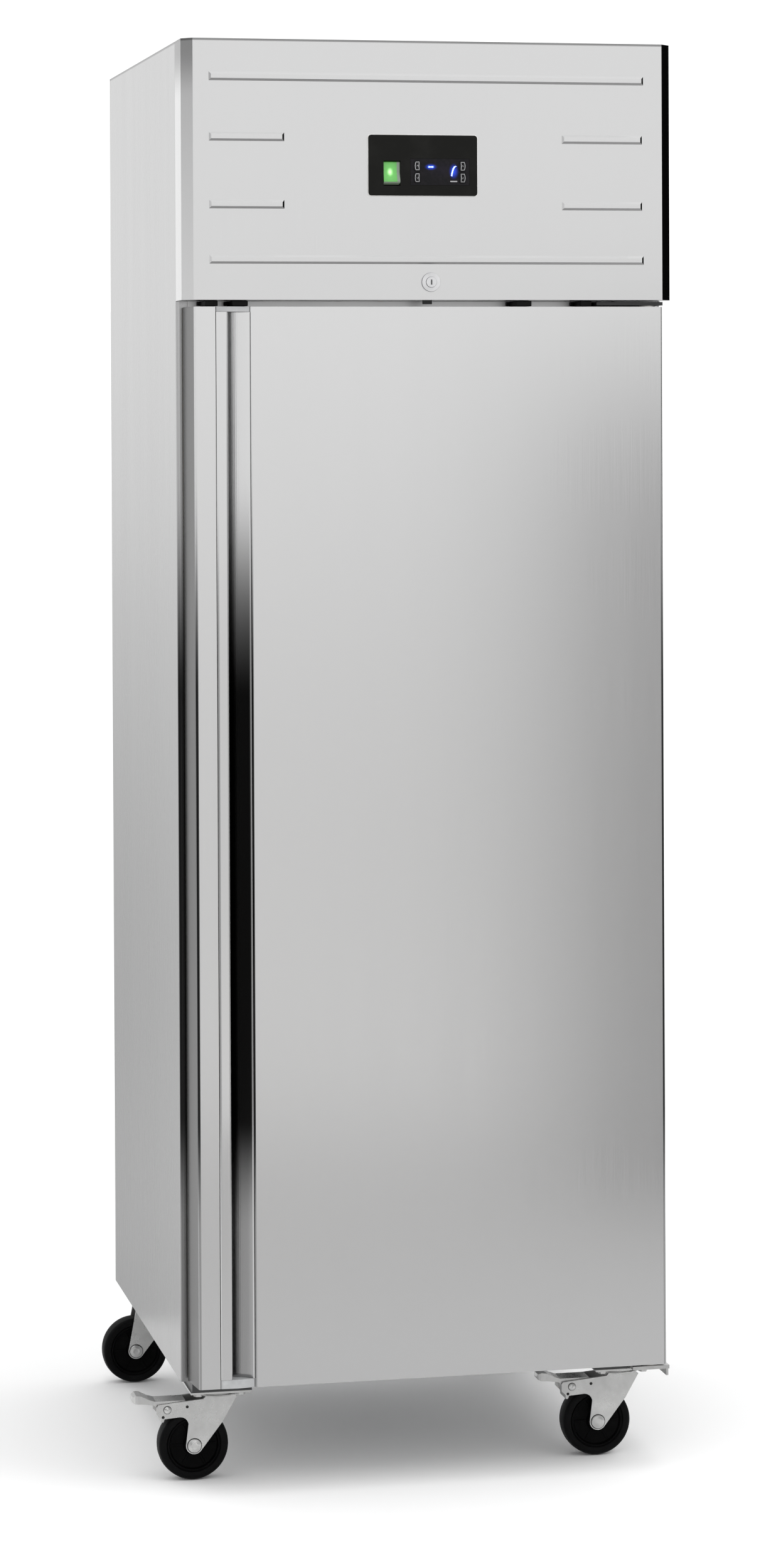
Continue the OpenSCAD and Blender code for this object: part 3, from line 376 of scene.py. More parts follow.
LOOKS = {
    # The steels' depth, fold and shaded settings paint shade and dark reflections, and the trim's dark colour
    # partly paints shade; the side steel is a darker, shaded copy of the same steel.
    "stainless_door": brushed_steel("stainless_door", 0.63, 0.22, fold=0.03),
    "door_steel": brushed_steel("door_steel", 0.66, 0.21, trim=(0.019, 0.0187, 0.018), shaded="corner"),
    "handle_steel": brushed_steel("handle_steel", 0.64, 0.12, depth=0.88, shaded="recess", shade=0.010),
    "shaded_side_steel": brushed_steel("shaded_side_steel", 0.445, 0.26, depth=0.80, shaded="flange"),
    "stainless_liner": brushed_steel("stainless_liner", 0.62, 0.34, edge=0.0008),
    "galvanised_steel": sheet_zinc("galvanised_steel", 0.55, 0.42),
    "dark_steel": enamel("dark_steel", (0.020, 0.021, 0.022), 0.45),
    "zinc_plate": plated("zinc_plate", (0.56, 0.56, 0.555), 0.24),
    "foam": foam_look("foam"),
    "cap_plastic": moulded("cap_plastic", (0.36, 0.365, 0.37), 0.38),
    "bezel_plastic": moulded("bezel_plastic", (0.0065, 0.0065, 0.0058), 0.45, 900.0, 0.12, gloss=0.10),
    "display_plastic": display_window("display_plastic"),
    "key_plastic": moulded("key_plastic", (0.008, 0.008, 0.009), 0.35, gloss=0.12),
    "rocker_lens": lit_lens("rocker_lens"),
    "lock_chrome": plated("lock_chrome", (0.70, 0.70, 0.71), 0.12),
    "compressor_paint": enamel("compressor_paint", (0.012, 0.012, 0.013)),
    "coil_aluminium": plated("coil_aluminium", (0.74, 0.75, 0.76), 0.32, 0.0),
    "motor_black": moulded("motor_black", (0.020, 0.020, 0.021), 0.45),
    "copper": plated("copper", (0.80, 0.38, 0.22), 0.24, 0.0),
    "fan_plastic": moulded("fan_plastic", (0.030, 0.030, 0.032), 0.42, edge=0.0),
    "shelf_coating": moulded("shelf_coating", (0.62, 0.63, 0.64), 0.32, 500.0, 0.1, 0.0),
    "nylon": moulded("nylon", (0.62, 0.61, 0.58), 0.42),
    "gasket_rubber": moulded("gasket_rubber", (0.16, 0.165, 0.17), 0.55, 700.0, 0.3, 0.0, 0.2),
    "wheel_rubber": moulded("wheel_rubber", (0.0010, 0.0010, 0.0011), 0.45, 600.0, 0.25, 0.001, 0.0, 0.04),
    "tread_rubber": moulded("tread_rubber", (0.0022, 0.0022, 0.0024), 0.55, 420.0, 0.35, 0.001, 0.02, 0.06),
    "stop_rubber": moulded("stop_rubber", (0.012, 0.012, 0.012), 0.6, 600.0, 0.3),
    "led_blue": light_segment("led_blue", (0.04, 0.14, 1.0), 1.1),
    "led_core": light_segment("led_core", (0.62, 0.76, 1.0), 1.5),
    "print_grey": moulded("print_grey", (0.34, 0.34, 0.35), 0.5, 900.0, 0.1, 0.0),
    "pale_highlight": moulded("pale_highlight", (0.72, 0.72, 0.70), 0.5, 900.0, 0.1, 0.0),
}


def slots_of_nodes():
    """Which material slot the record gives each CAD node."""
    return {part["node"]: part["material_slot"] for part in frame["record"]["subparts"]}


def paint(piece, look):
    piece.data.materials.clear()
    piece.data.materials.append(LOOKS[look].material)


# ---------- mesh building ----------

def add_box(mesh, lo, hi):
    """A box between two corners in the row frame."""
    corner = [mesh.verts.new((x, y, z))
              for x in (lo[0], hi[0]) for y in (lo[1], hi[1]) for z in (lo[2], hi[2])]
    for face in ((0, 1, 3, 2), (4, 6, 7, 5), (0, 4, 5, 1), (2, 3, 7, 6), (0, 2, 6, 4), (1, 5, 7, 3)):
        mesh.faces.new([corner[i] for i in face])


def add_rings(mesh, rings, closed=False, caps=True):
    """Skins between rings of the same number of points; closed joins the last ring to the first."""
    made = [[mesh.verts.new(point) for point in ring] for ring in rings]
    count = len(made[0])
    pairs = list(zip(made, made[1:])) + ([(made[-1], made[0])] if closed else [])
    for first, second in pairs:
        for i in range(count):
            j = (i + 1) % count
            mesh.faces.new((first[i], first[j], second[j], second[i]))
    if caps and not closed:
        mesh.faces.new(list(reversed(made[0])))
        mesh.faces.new(made[-1])


def frame_of(direction):
    """Two unit vectors square to a direction."""
    helper = Vector((0, 0, 1)) if abs(direction.z) < 0.9 else Vector((1, 0, 0))
    side = direction.cross(helper).normalized()
    return side, side.cross(direction).normalized()


def add_tube(mesh, points, radius, sides=12, closed=False):
    """A round tube along points in the row frame, turned with the least twist."""
    points = [Vector(p) for p in points]
    count = len(points)
    rings = []
    side = None
    for i, point in enumerate(points):
        before = points[i - 1] if (i or closed) else point
        after = points[(i + 1) % count] if (i < count - 1 or closed) else point
        ahead = (after - before).normalized()
        if side is None:
            side, up = frame_of(ahead)
        else:
            side = (side - ahead * side.dot(ahead)).normalized()
            up = side.cross(ahead).normalized()
        rings.append([point + (side * math.cos(a) + up * math.sin(a)) * radius
                      for a in (2 * math.pi * k / sides for k in range(sides))])
    add_rings(mesh, rings, closed)


def add_lathe(mesh, profile, centre, axis, steps=48):
    """A turned body: profile is (radius, distance along the axis) in metres, from end to end."""
    axis = Vector(axis).normalized()
    side, up = frame_of(axis)
    rings = []
    for k in range(steps):
        a = 2 * math.pi * k / steps
        outward = side * math.cos(a) + up * math.sin(a)
        rings.append([Vector(centre) + outward * r + axis * h for r, h in profile])
    add_rings(mesh, rings, closed=True)


def add_prism(mesh, outline, low, high):
    """An outline of points in the row frame, swept from low to high, both vectors."""
    add_rings(mesh, [[Vector(p) + Vector(end) for p in outline] for end in (low, high)])


def make(name, mesh, body, look, bevel=0.0, stands_for=(), sharp=35.0):
    """Turns a bmesh into a piece that rides on a body with its material."""
    bmesh.ops.recalc_face_normals(mesh, faces=mesh.faces)
    data = bpy.data.meshes.new(name)
    mesh.to_mesh(data)
    mesh.free()
    data.polygons.foreach_set("use_smooth", [True] * len(data.polygons))
    data.set_sharp_from_angle(angle=math.radians(sharp))
    piece = bpy.data.objects.new(name, data)
    bpy.context.scene.collection.objects.link(piece)
    if bevel:
        rounding = piece.modifiers.new("rounding", "BEVEL")
        rounding.width = bevel
        rounding.segments = 2
        rounding.limit_method = "ANGLE"
        rounding.angle_limit = math.radians(sharp)
        rounding.harden_normals = True
    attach(piece, body)
    if stands_for:
        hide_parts(*stands_for)
    paint(piece, look)
    return piece


def add_screw(mesh, centre, outward, radius=0.0038, proud=0.0018):
    """A pan-head screw with a cross recess, its head's foot at centre."""
    outward = Vector(outward).normalized()
    dome = [(0.0007, -0.0002), (radius, 0.0)]
    dome += [(radius * math.cos(a), proud * (0.35 + 0.65 * math.sin(a)))
             for a in (math.pi / 2 * k / 5 for k in range(6)) if radius * math.cos(a) > 0.0008]
    dome += [(0.0007, proud)]
    add_lathe(mesh, dome, centre, outward, 20)
    side, up = frame_of(outward)
    for along, across in ((side, up), (up, side)):
        tip = Vector(centre) + outward * (proud * 0.55)
        outline = [tip + along * a + across * b for a, b in (
            (-radius * 0.55, -0.00035), (radius * 0.55, -0.00035),
            (radius * 0.55, 0.00035), (-radius * 0.55, 0.00035))]
        add_prism(mesh, outline, (0, 0, 0), outward * (proud * 0.5))


# ---------- castors ----------

# How far a wheel's axle lies behind its swivel axis, half a wheel's width, and how far a fork's cheeks stand
# from the middle of the wheel
TRAIL = 34 * MM
WHEEL_HALF = 16 * MM
CHEEK = 20.5 * MM
CASTORS = {
    "front_left": ("wheel_front_left", "fork_front_left"),
    "front_right": ("wheel_front_right", "fork_front_right"),
    "rear_left": ("wheel_rear_left", "fork_rear_left"),
    "rear_right": ("wheel_rear_right", "fork_rear_right"),
}


def tyre_profile(radius, half):
    """Half-round shoulders on a slightly crowned tread, closed on the rim side."""
    rim = radius - 0.0125
    points = [(rim, half * 0.80), (rim + 0.0015, half * 0.93), (radius - 0.0075, half)]
    points += [(radius - 0.006 + 0.005 * math.sin(a), half - 0.005 + 0.005 * math.cos(a))
               for a in (math.pi / 2 * k / 5 for k in range(1, 6))]
    points += [(radius - 0.0003, half * 0.35), (radius, 0.0)]
    return points + [(r, -h) for r, h in reversed(points[:-1])]


def hub_profile(radius, half):
    """A dished web with a raised rim and a bearing boss."""
    rim = radius - 0.0125
    bore = 0.0062
    points = [(bore, half + 0.0010), (0.0125, half + 0.0010), (0.0135, half), (0.0150, half - 0.0055),
              (0.0260, half - 0.0065), (rim - 0.0045, half - 0.0050), (rim - 0.0030, half - 0.0012),
              (rim - 0.0005, half - 0.0012), (rim, half * 0.80)]
    return points + [(r, -h) for r, h in reversed(points)]


def make_wheels():
    """A tyre and a spoked hub in place of each wheel's CAD mesh."""
    half = WHEEL_HALF
    for place, (wheel, _) in CASTORS.items():
        lo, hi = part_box(wheel)
        centre = (lo + hi) / 2
        radius = (hi.z - lo.z) / 2
        tyre = bmesh.new()
        add_lathe(tyre, tyre_profile(radius, half), centre, (0, 1, 0), 72)
        make("tyre_" + place, tyre, wheel, "tread_rubber", stands_for=(wheel,))
        hub = bmesh.new()
        add_lathe(hub, hub_profile(radius, half), centre, (0, 1, 0), 64)
        for k in range(6):
            a = math.pi / 3 * k
            spoke = Vector((math.cos(a), 0, math.sin(a)))
            side = Vector((-math.sin(a), 0, math.cos(a))) * 0.0013
            for face in (-1, 1):
                low = centre + Vector((0, face * (half - 0.0072), 0))
                outline = [low + spoke * 0.0145 - side, low + spoke * 0.0335 - side,
                           low + spoke * 0.0335 + side, low + spoke * 0.0145 + side]
                add_prism(hub, outline, (0, 0, 0), (0, face * 0.0022, 0))
        make("hub_" + place, hub, wheel, "wheel_rubber")


def add_shadow_ring(mesh, centre, radius):
    """A thin dark ring lying on a fork's cheek, a painted contact shadow round a head."""
    ring = [centre + Vector((radius * math.cos(a), 0, radius * math.sin(a)))
            for a in (2 * math.pi * k / 32 for k in range(32))]
    add_tube(mesh, ring, 0.0004, 6, closed=True)


# Turned profiles on the forks: (radius, distance outwards) in metres
RACE_LIP = [(0.0272, -0.0040), (0.0300, -0.0040), (0.0318, -0.0030), (0.0322, -0.0019), (0.0272, -0.0019)]
AXLE_HEAD = [(0.0005, 0.0022), (0.0050, 0.0030), (0.0058, 0.0026), (0.0082, 0.0025), (0.0096, 0.0016),
             (0.0100, 0.0002), (0.0005, 0.0002)]
RIVET = [(0.0005, 0.0024), (0.0034, 0.0022), (0.0048, 0.0012), (0.0052, 0.0001), (0.0005, 0.0001)]
DIMPLE = [(0.0002, 0.0006), (0.0018, 0.0005), (0.0021, 0.0001), (0.0002, 0.0001)]


def make_castor_details():
    """Ball race under each plate, turned axle heads and rivets with rings of painted contact shadow round
    them, and dark discs of painted shade for the drain holes on the forks.
    """
    for place, (wheel, fork) in CASTORS.items():
        wheel_lo, wheel_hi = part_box(wheel)
        axle = (wheel_lo + wheel_hi) / 2
        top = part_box("castor_fork_" + place)[1].z
        race = bmesh.new()
        add_lathe(race, RACE_LIP, Vector((axle.x + TRAIL, axle.y, top)), (0, 0, 1), 48)
        make("race_" + place, race, fork, "zinc_plate")
        marks = bmesh.new()
        holes = bmesh.new()
        for face in (-1, 1):
            outward = Vector((0, face, 0))
            cheek = axle + outward * CHEEK
            add_lathe(marks, AXLE_HEAD, cheek, outward, 32)
            # Painted contact shadow: a dark ring round the axle head.
            add_shadow_ring(holes, cheek, 0.0103)
            if place.startswith("front"):
                ear = cheek + Vector((-0.038, 0, 0.052))
                add_lathe(marks, RIVET, ear, outward, 24)
                # Painted contact shadow round the rivet.
                add_shadow_ring(holes, ear, 0.0054)
                # Painted shade: dark discs for the drain holes.
                for back, up in ((-0.010, 0.055), (-0.044, 0.042)):
                    add_lathe(holes, DIMPLE, cheek + Vector((back, 0, up)), outward, 16)
        make("axle_heads_" + place, marks, fork, "zinc_plate")
        make("fork_painted_shade_" + place, holes, fork, "stop_rubber")


# ---------- controls ----------

def ring_prism(mesh, outer, inner, depth):
    """A flat frame between two outlines with the same number of points, pushed back by depth."""
    back = Vector((0, depth, 0))
    add_rings(mesh, [[Vector(p) for p in outer], [Vector(p) + back for p in outer],
                     [Vector(p) + back for p in inner], [Vector(p) for p in inner]], closed=True)


def rounded_frame(x0, x1, z0, z1, radius, y, steps=6):
    """The outline of a rounded rectangle facing the front, in the row frame."""
    corners = ((x1 - radius, z1 - radius, 0), (x0 + radius, z1 - radius, 90),
               (x0 + radius, z0 + radius, 180), (x1 - radius, z0 + radius, 270))
    points = []
    for cx, cz, start in corners:
        for k in range(steps + 1):
            a = math.radians(start + 90 * k / steps)
            points.append(at(cx + radius * math.cos(a), y, cz + radius * math.sin(a)))
    return points


def make_controls():
    """A pale ring round the bezel, a painted highlight along the edge of its opening in the panel, the marks
    on the keys and the lit display.
    """
    lo, hi = local_box("control_bezel")
    # Painted highlight: a pale ring for the bright line along the edge round the bezel.
    trim = bmesh.new()
    ring_prism(trim, rounded_frame(lo.x - 1.3, hi.x + 1.3, lo.z - 1.3, hi.z + 1.3, 5.0, -0.5),
               rounded_frame(lo.x + 0.2, hi.x - 0.2, lo.z + 0.2, hi.z - 0.2, 4.0, -0.5), 0.0006)
    make("bezel_highlight_ring", trim, "cabinet", "pale_highlight", 0.0002)

    face_y = local_box("controller")[0].y - 0.15
    for side, name in ((-1, "left"), (1, "right")):
        for row, level in ((1, "upper"), (-1, "lower")):
            node = "key_%s_%s" % (level, name)
            key_lo, key_hi = local_box(node)
            cx = (key_lo.x + key_hi.x) / 2
            cz = (key_lo.z + key_hi.z) / 2
            bow = 1.3 * side
            outline = bmesh.new()
            points = []
            for k in range(9):
                t = -1 + k / 4
                points.append(at(cx + side * 2.4 + bow * (1 - t * t) * 0.8, key_lo.y - 0.1, cz + 5.4 * t))
            for k in range(9):
                t = 1 - k / 4
                points.append(at(cx - side * 2.4 + bow * (1 - t * t) * 0.4, key_lo.y - 0.1, cz + 5.4 * t))
            add_tube(outline, points, 0.00046, 6, closed=True)
            tick = [at(cx - 1.2, key_lo.y - 0.1, cz - row * 0.6), at(cx, key_lo.y - 0.1, cz + row * 1.2),
                    at(cx + 1.2, key_lo.y - 0.1, cz - row * 0.6)]
            add_tube(outline, tick, 0.0003, 6)
            make("key_mark_%s_%s" % (level, name), outline, node, "print_grey")

    glow = bmesh.new()
    core = bmesh.new()
    for mesh, half, tall, proud in ((glow, 4.4, 1.5, 0.0), (core, 3.3, 0.75, 0.12)):
        for shift in (-0.52, 0.52):
            x = DASH[0] + shift * half
            add_prism(mesh, rounded_frame(x - half * 0.46, x + half * 0.46, DASH[2] - tall, DASH[2] + tall,
                                          tall * 0.6, face_y - proud, 3), (0, 0, 0), (0, 0.0003, 0))
    curve = [(3.4, 7.2), (1.4, 6.6), (-0.6, 3.6), (-1.6, 0.4), (-2.6, -3.4), (-3.0, -6.6)]
    for mesh, wide, proud in ((glow, 1.35, 0.0), (core, 0.7, 0.12)):
        left = [at(DIGIT[0] + x - wide, face_y - proud, DIGIT[2] + z + wide * 0.3) for x, z in curve]
        right = [at(DIGIT[0] + x + wide, face_y - proud, DIGIT[2] + z - wide * 0.3) for x, z in curve]
        add_prism(mesh, left + right[::-1], (0, 0, 0), (0, 0.0003, 0))
    make("display_glow", glow, "cabinet", "led_blue")
    make("display_digits", core, "cabinet", "led_core")
    bar = bmesh.new()
    add_prism(bar, rounded_frame(DIGIT[0] - 5, DIGIT[0] + 5, 1814.2, 1815.8, 0.6, face_y, 3), (0, 0, 0),
              (0, 0.0003, 0))
    make("display_mark", bar, "cabinet", "print_grey")


def make_lock_rings():
    """Fine dark lines where the lock's ring meets the panel and where the barrel turns in it."""
    lo, hi = local_box("lock_housing")
    cx, cz = (lo.x + hi.x) / 2, (lo.z + hi.z) / 2
    lines = bmesh.new()
    for radius, y in ((hi.x - cx + 0.2, -0.1), (7.6, lo.y + 0.05)):
        ring = [at(cx + radius * math.cos(a), y, cz + radius * math.sin(a))
                for a in (2 * math.pi * k / 64 for k in range(64))]
        add_tube(lines, ring, 0.0003, 6, closed=True)
    make("lock_lines", lines, "cabinet", "print_grey")


# Middle and half width of each stop over the door, in cabinet millimetres
DOOR_STOPS = ((-305, 9), (-265, 11), (138, 11), (228, 8))


def make_gap_hardware():
    """Rubber stops between the fascia and the door, on the front frame."""
    stops = bmesh.new()
    for x, half in DOOR_STOPS:
        add_box(stops, at(x - half, 22, 1642.2), at(x + half, 67.5, 1649.6))
        add_box(stops, at(x - half - 5, 60, 1643.5), at(x + half + 5, 67.5, 1649.0))
    make("door_stops", stops, "cabinet", "stop_rubber", 0.0008)


# ---------- machine compartment ----------

def blade_sections(centre, root, tip, chord_root, chord_tip, pitch_root, pitch_tip, turn, sweep):
    """Sections of a cambered fan blade, from its root outwards, for a fan that faces -Y."""
    sections = []
    steps = 7
    for k in range(steps):
        t = k / (steps - 1)
        radius = root + (tip - root) * t
        chord = chord_root + (chord_tip - chord_root) * math.sin(t * math.pi / 2)
        pitch = math.radians(pitch_root + (pitch_tip - pitch_root) * t)
        angle = turn + math.radians(sweep) * t
        out = Vector((math.cos(angle), 0, math.sin(angle)))
        along = Vector((-math.sin(angle), 0, math.cos(angle)))
        ring = []
        for face in (1, -1):
            for j in range(7):
                u = -1 + j / 3 if face > 0 else 1 - j / 3
                camber = 0.09 * chord * (1 - u * u)
                thick = face * 0.0008 * math.sqrt(max(0.0, 1.02 - u * u))
                ring.append(centre + out * radius
                            + along * (u * chord / 2 * math.cos(pitch) - (camber + thick) * math.sin(pitch))
                            + Vector((0, 1, 0)) * (u * chord / 2 * math.sin(pitch)
                                                   + (camber + thick) * math.cos(pitch) - 0.045 * chord))
        sections.append(ring)
    return sections


def make_fan(name, node, body, hub, blades, chord, look):
    """A fan with cambered blades round a hollow hub, in place of the CAD fan."""
    lo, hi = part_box(node)
    centre = (lo + hi) / 2
    tip = (hi.z - lo.z) / 2
    depth = hi.y - lo.y
    mesh = bmesh.new()
    for k in range(blades):
        turn = 2 * math.pi * k / blades
        add_rings(mesh, blade_sections(centre, hub - 0.003, tip, chord * 0.75, chord, 34, 22, turn, 18))
    front = -depth / 2
    profile = [(0.0004, front), (hub - 0.006, front), (hub - 0.002, front + 0.0015), (hub, front + 0.004),
               (hub, depth / 2 - 0.001), (hub - 0.002, depth / 2), (hub - 0.0035, depth / 2),
               (hub - 0.0035, front + 0.006), (0.0085, front + 0.006), (0.0085, depth / 2),
               (0.0056, depth / 2), (0.0056, front + 0.0035), (0.0004, front + 0.0035)]
    add_lathe(mesh, profile, centre, (0, 1, 0), 48)
    make(name, mesh, body, look, stands_for=(node,))


def make_finned_coil():
    """Condenser: thin folded fins between two end plates, with tubes and their return bends."""
    lo, hi = local_box("condenser_coil")
    y0, y1 = lo.y + 4, hi.y - 4
    base, top = lo.z + 8, hi.z - 4
    fins = bmesh.new()
    count = 96
    x0, x1 = lo.x + 4, hi.x - 4
    for k in range(count):
        x = x0 + (x1 - x0) * (k + 0.5) / count
        add_box(fins, at(x - 0.16, y0, base), at(x + 0.16, y1, top))
    make("condenser_fins", fins, "cabinet", "coil_aluminium", stands_for=("condenser_coil",))
    plates = bmesh.new()
    for x in (lo.x, hi.x - 2):
        add_box(plates, at(x, lo.y, lo.z), at(x + 2, hi.y, hi.z))
    for y in (lo.y, hi.y - 1.2):
        add_box(plates, at(lo.x, y, top), at(hi.x, y + 1.2, hi.z))
        add_box(plates, at(lo.x, y, lo.z), at(hi.x, y + 1.2, base))
    make("condenser_frame", plates, "cabinet", "galvanised_steel", 0.0004)
    tubes = bmesh.new()
    rows = 5
    near, far = y0 + 16, y1 - 16
    middle, reach = (near + far) / 2, (far - near) / 2
    for row in range(rows):
        z = base + 26 + row * 52
        for end, way in ((lo.x, -1), (hi.x, 1)):
            bend = [at(end - way, near, z)]
            bend += [at(end + way * (2 + 9 * math.sin(a)), middle - reach * math.cos(a), z)
                     for a in (math.pi * k / 10 for k in range(11))]
            bend += [at(end - way, far, z)]
            add_tube(tubes, bend, 0.0042, 12)
        for y in (near, far):
            add_tube(tubes, [at(x0, y, z), at(x1, y, z)], 0.0046, 12)
    make("condenser_tubes", tubes, "cabinet", "copper")


# A washer and a bolt's head, turned: (radius, height) in metres
FOOT_BOLT = [(0.0003, 0.0), (0.0095, 0.0), (0.0095, 0.0012), (0.0055, 0.0014), (0.0055, 0.0062),
             (0.0048, 0.0070), (0.0003, 0.0070)]


def make_compressor_details():
    """Weld seam, bolts in the rubber feet, cover clip and service tube."""
    cx, cy = -150.0, 470.0
    seam = bmesh.new()
    for z in (1740.6, 1749.4):
        ring = [at(cx + 82.6 * math.cos(a), cy + 82.6 * math.sin(a), z)
                for a in (2 * math.pi * k / 64 for k in range(64))]
        add_tube(seam, ring, 0.0013, 8, closed=True)
    make("compressor_weld", seam, "cabinet", "compressor_paint")
    bolts = bmesh.new()
    for dx in (-100, 100):
        for dy in (-60, 60):
            add_lathe(bolts, FOOT_BOLT, at(cx + dx, cy + dy, 1668.6), (0, 0, 1), 24)
    make("compressor_bolts", bolts, "cabinet", "zinc_plate")
    clip = bmesh.new()
    wire = [at(cx - 33, cy - 84, 1696), at(cx - 33, cy - 118, 1698), at(cx - 30, cy - 118.6, 1738),
            at(cx + 30, cy - 118.6, 1738), at(cx + 33, cy - 118, 1698), at(cx + 33, cy - 84, 1696)]
    add_tube(clip, wire, 0.0012, 8)
    make("cover_clip", clip, "cabinet", "zinc_plate")
    service = bmesh.new()
    path = [at(cx - 60, cy + 40, 1720), at(cx - 84, cy + 56, 1722), at(cx - 96, cy + 62, 1732),
            at(cx - 99, cy + 64, 1752), at(cx - 99, cy + 64, 1790)]
    add_tube(service, path, 0.0032, 12)
    add_tube(service, [at(cx - 102, cy + 64, 1789), at(cx - 96, cy + 64, 1789)], 0.0036, 8)
    make("service_tube", service, "cabinet", "copper")


# ---------- door seal and fixings ----------

def make_gasket():
    """Magnetic seal: a soft bulb and a bellows fold on a dart, mitred at the corners."""
    lo, hi = local_box("door_gasket")
    width = 18.0
    depth = hi.y - lo.y
    section = [(0.0, 0.0), (0.0, 0.30), (0.12, 0.42), (0.04, 0.55), (0.02, 0.85), (0.10, 0.98), (0.50, 1.0),
               (0.90, 0.98), (0.98, 0.85), (0.96, 0.55), (0.88, 0.42), (1.0, 0.30), (1.0, 0.0)]
    rings = []
    for cx, cz in ((lo.x, lo.z), (hi.x, lo.z), (hi.x, hi.z), (lo.x, hi.z)):
        inward_x = 1 if cx == lo.x else -1
        inward_z = 1 if cz == lo.z else -1
        rings.append([at(cx + inward_x * width * u, lo.y + depth * v, cz + inward_z * width * u)
                      for u, v in section])
    mesh = bmesh.new()
    add_rings(mesh, rings, closed=True)
    make("door_seal", mesh, "door", "gasket_rubber", stands_for=("door_gasket",), sharp=50)


def make_screws():
    """Pan-head screws on the cooler, the top hinge and the electrical box."""
    cooler = bmesh.new()
    lo, hi = local_box("evaporator_cover")
    for x in (lo.x + 14, hi.x - 14):
        for z in (lo.z + 14, hi.z - 14):
            add_screw(cooler, at(x, lo.y, z), (0, -1, 0))
    make("cooler_screws", cooler, "cabinet", "zinc_plate")
    plates = bmesh.new()
    lo, hi = local_box("hinge_bracket_top")
    for x in (lo.x + 12, lo.x + 34):
        add_screw(plates, at(x, lo.y + 40, hi.z), (0, 0, 1), 0.0045, 0.0015)
    make("hinge_screws", plates, "cabinet", "zinc_plate")
    box = bmesh.new()
    lo, hi = local_box("electrical_box")
    for x in (lo.x + 9, hi.x - 9):
        for y in (lo.y + 9, hi.y - 9):
            add_screw(box, at(x, y, hi.z), (0, 0, 1))
    make("box_screws", box, "cabinet", "zinc_plate")


# ---------- paint the CAD ----------

node_slots = slots_of_nodes()
for name, piece in nodes.items():
    paint(piece, node_slots[name])
paint(nodes["door_skin"], "door_steel")
paint(nodes["handle_profile"], "handle_steel")
for name in ("side_panel_left", "side_panel_right"):
    paint(nodes[name], "shaded_side_steel")

make_wheels()
make_castor_details()
make_controls()
make_lock_rings()
make_gap_hardware()
make_fan("fan_condenser", "condenser_fan", "condenser_fan", 0.024, 5, 0.052, "fan_plastic")
make_fan("fan_cooler", "evaporator_fan", "evaporator_fan", 0.018, 5, 0.040, "nylon")
make_finned_coil()
make_compressor_details()
make_gasket()
make_screws()

# ---------- camera, light and floor ----------


# The camera's place in metres and its turn in radians: yaw to the right, pitch up and roll
CAMERA_PLACE = (-1.1612, -5.9250, 1.5114)
CAMERA_TURN = (0.2162, -0.0070, -0.0045)


def make_camera():
    """A long lens a little left of the cabinet at chest height, shifted so that uprights stay parallel."""
    data = bpy.data.cameras.new("camera")
    data.lens = 93.81
    data.sensor_width = 36.0
    data.shift_x = -0.0432
    data.shift_y = -0.2268
    data.clip_end = 200
    camera = bpy.data.objects.new("camera", data)
    bpy.context.scene.collection.objects.link(camera)
    yaw, pitch, roll = CAMERA_TURN
    ahead = Vector((math.sin(yaw) * math.cos(pitch), math.cos(yaw) * math.cos(pitch), math.sin(pitch)))
    right = Vector((math.cos(yaw), -math.sin(yaw), 0))
    up = right.cross(ahead)
    side = right * math.cos(roll) + up * math.sin(roll)
    over = up * math.cos(roll) - right * math.sin(roll)
    turn = Matrix((side, over, -ahead)).transposed()
    camera.matrix_world = Matrix.Translation(CAMERA_PLACE) @ turn.to_4x4()
    bpy.context.scene.camera = camera


# Where the world's two darker panels lie
RIGHT_PANEL = (0.957, 0.285, 0.0)
LEFT_PANEL = (-0.985, -0.15, 0.0)


def make_world():
    """A soft white room. Narrow darker panels stand where only slanting faces reflect them."""
    world = bpy.data.worlds.new("studio")
    bpy.context.scene.world = world
    world.use_nodes = True
    tree = world.node_tree
    tree.nodes.clear()
    link = tree.links.new
    output = tree.nodes.new("ShaderNodeOutputWorld")
    back = tree.nodes.new("ShaderNodeBackground")
    link(back.outputs[0], output.inputs["Surface"])
    way = tree.nodes.new("ShaderNodeTexCoord").outputs["Generated"]

    def faced(direction, start, end, low, high):
        """Low to high as the direction of sight turns towards the given one, by its cosine."""
        dot = tree.nodes.new("ShaderNodeVectorMath")
        dot.operation = "DOT_PRODUCT"
        link(way, dot.inputs[0])
        dot.inputs[1].default_value = direction
        made = tree.nodes.new("ShaderNodeMapRange")
        made.interpolation_type = "SMOOTHSTEP"
        link(dot.outputs["Value"], made.inputs["Value"])
        for key, value in (("From Min", start), ("From Max", end), ("To Min", low), ("To Max", high)):
            made.inputs[key].default_value = value
        return made.outputs["Result"]

    def combine(way_of_joining, first, second):
        made = tree.nodes.new("ShaderNodeMath")
        made.operation = way_of_joining
        link(first, made.inputs[0])
        link(second, made.inputs[1])
        return made.outputs[0]

    def panel(direction, start, end, bottom, top, darkness):
        """How much light is left: less in one direction, between two soft levels."""
        side = faced(direction, start, end, 0.0, darkness)
        above = faced((0, 0, 1), bottom - 0.02, bottom + 0.02, 0.0, 1.0)
        below = faced((0, 0, 1), top - 0.02, top + 0.02, 1.0, 0.0)
        amount = combine("MULTIPLY", side, combine("MULTIPLY", above, below))
        made = tree.nodes.new("ShaderNodeMath")
        made.operation = "SUBTRACT"
        made.inputs[0].default_value = 1.0
        link(amount, made.inputs[1])
        return made.outputs[0]

    # The room is a little darker below the horizon and straight in front
    light = faced((0, 0, 1), -0.25, 0.20, 0.98, 1.06)
    for factor in (
        faced((0, -1, 0), 0.0, 0.9, 1.10, 1.05),
        panel(RIGHT_PANEL, 0.68, 0.88, -0.06, 0.20, 0.985),
        panel(LEFT_PANEL, 0.86, 0.95, 0.082, 0.40, 0.92),
    ):
        light = combine("MULTIPLY", light, factor)
    link(light, back.inputs["Strength"])
    back.inputs["Color"].default_value = (1.0, 1.0, 1.0, 1.0)


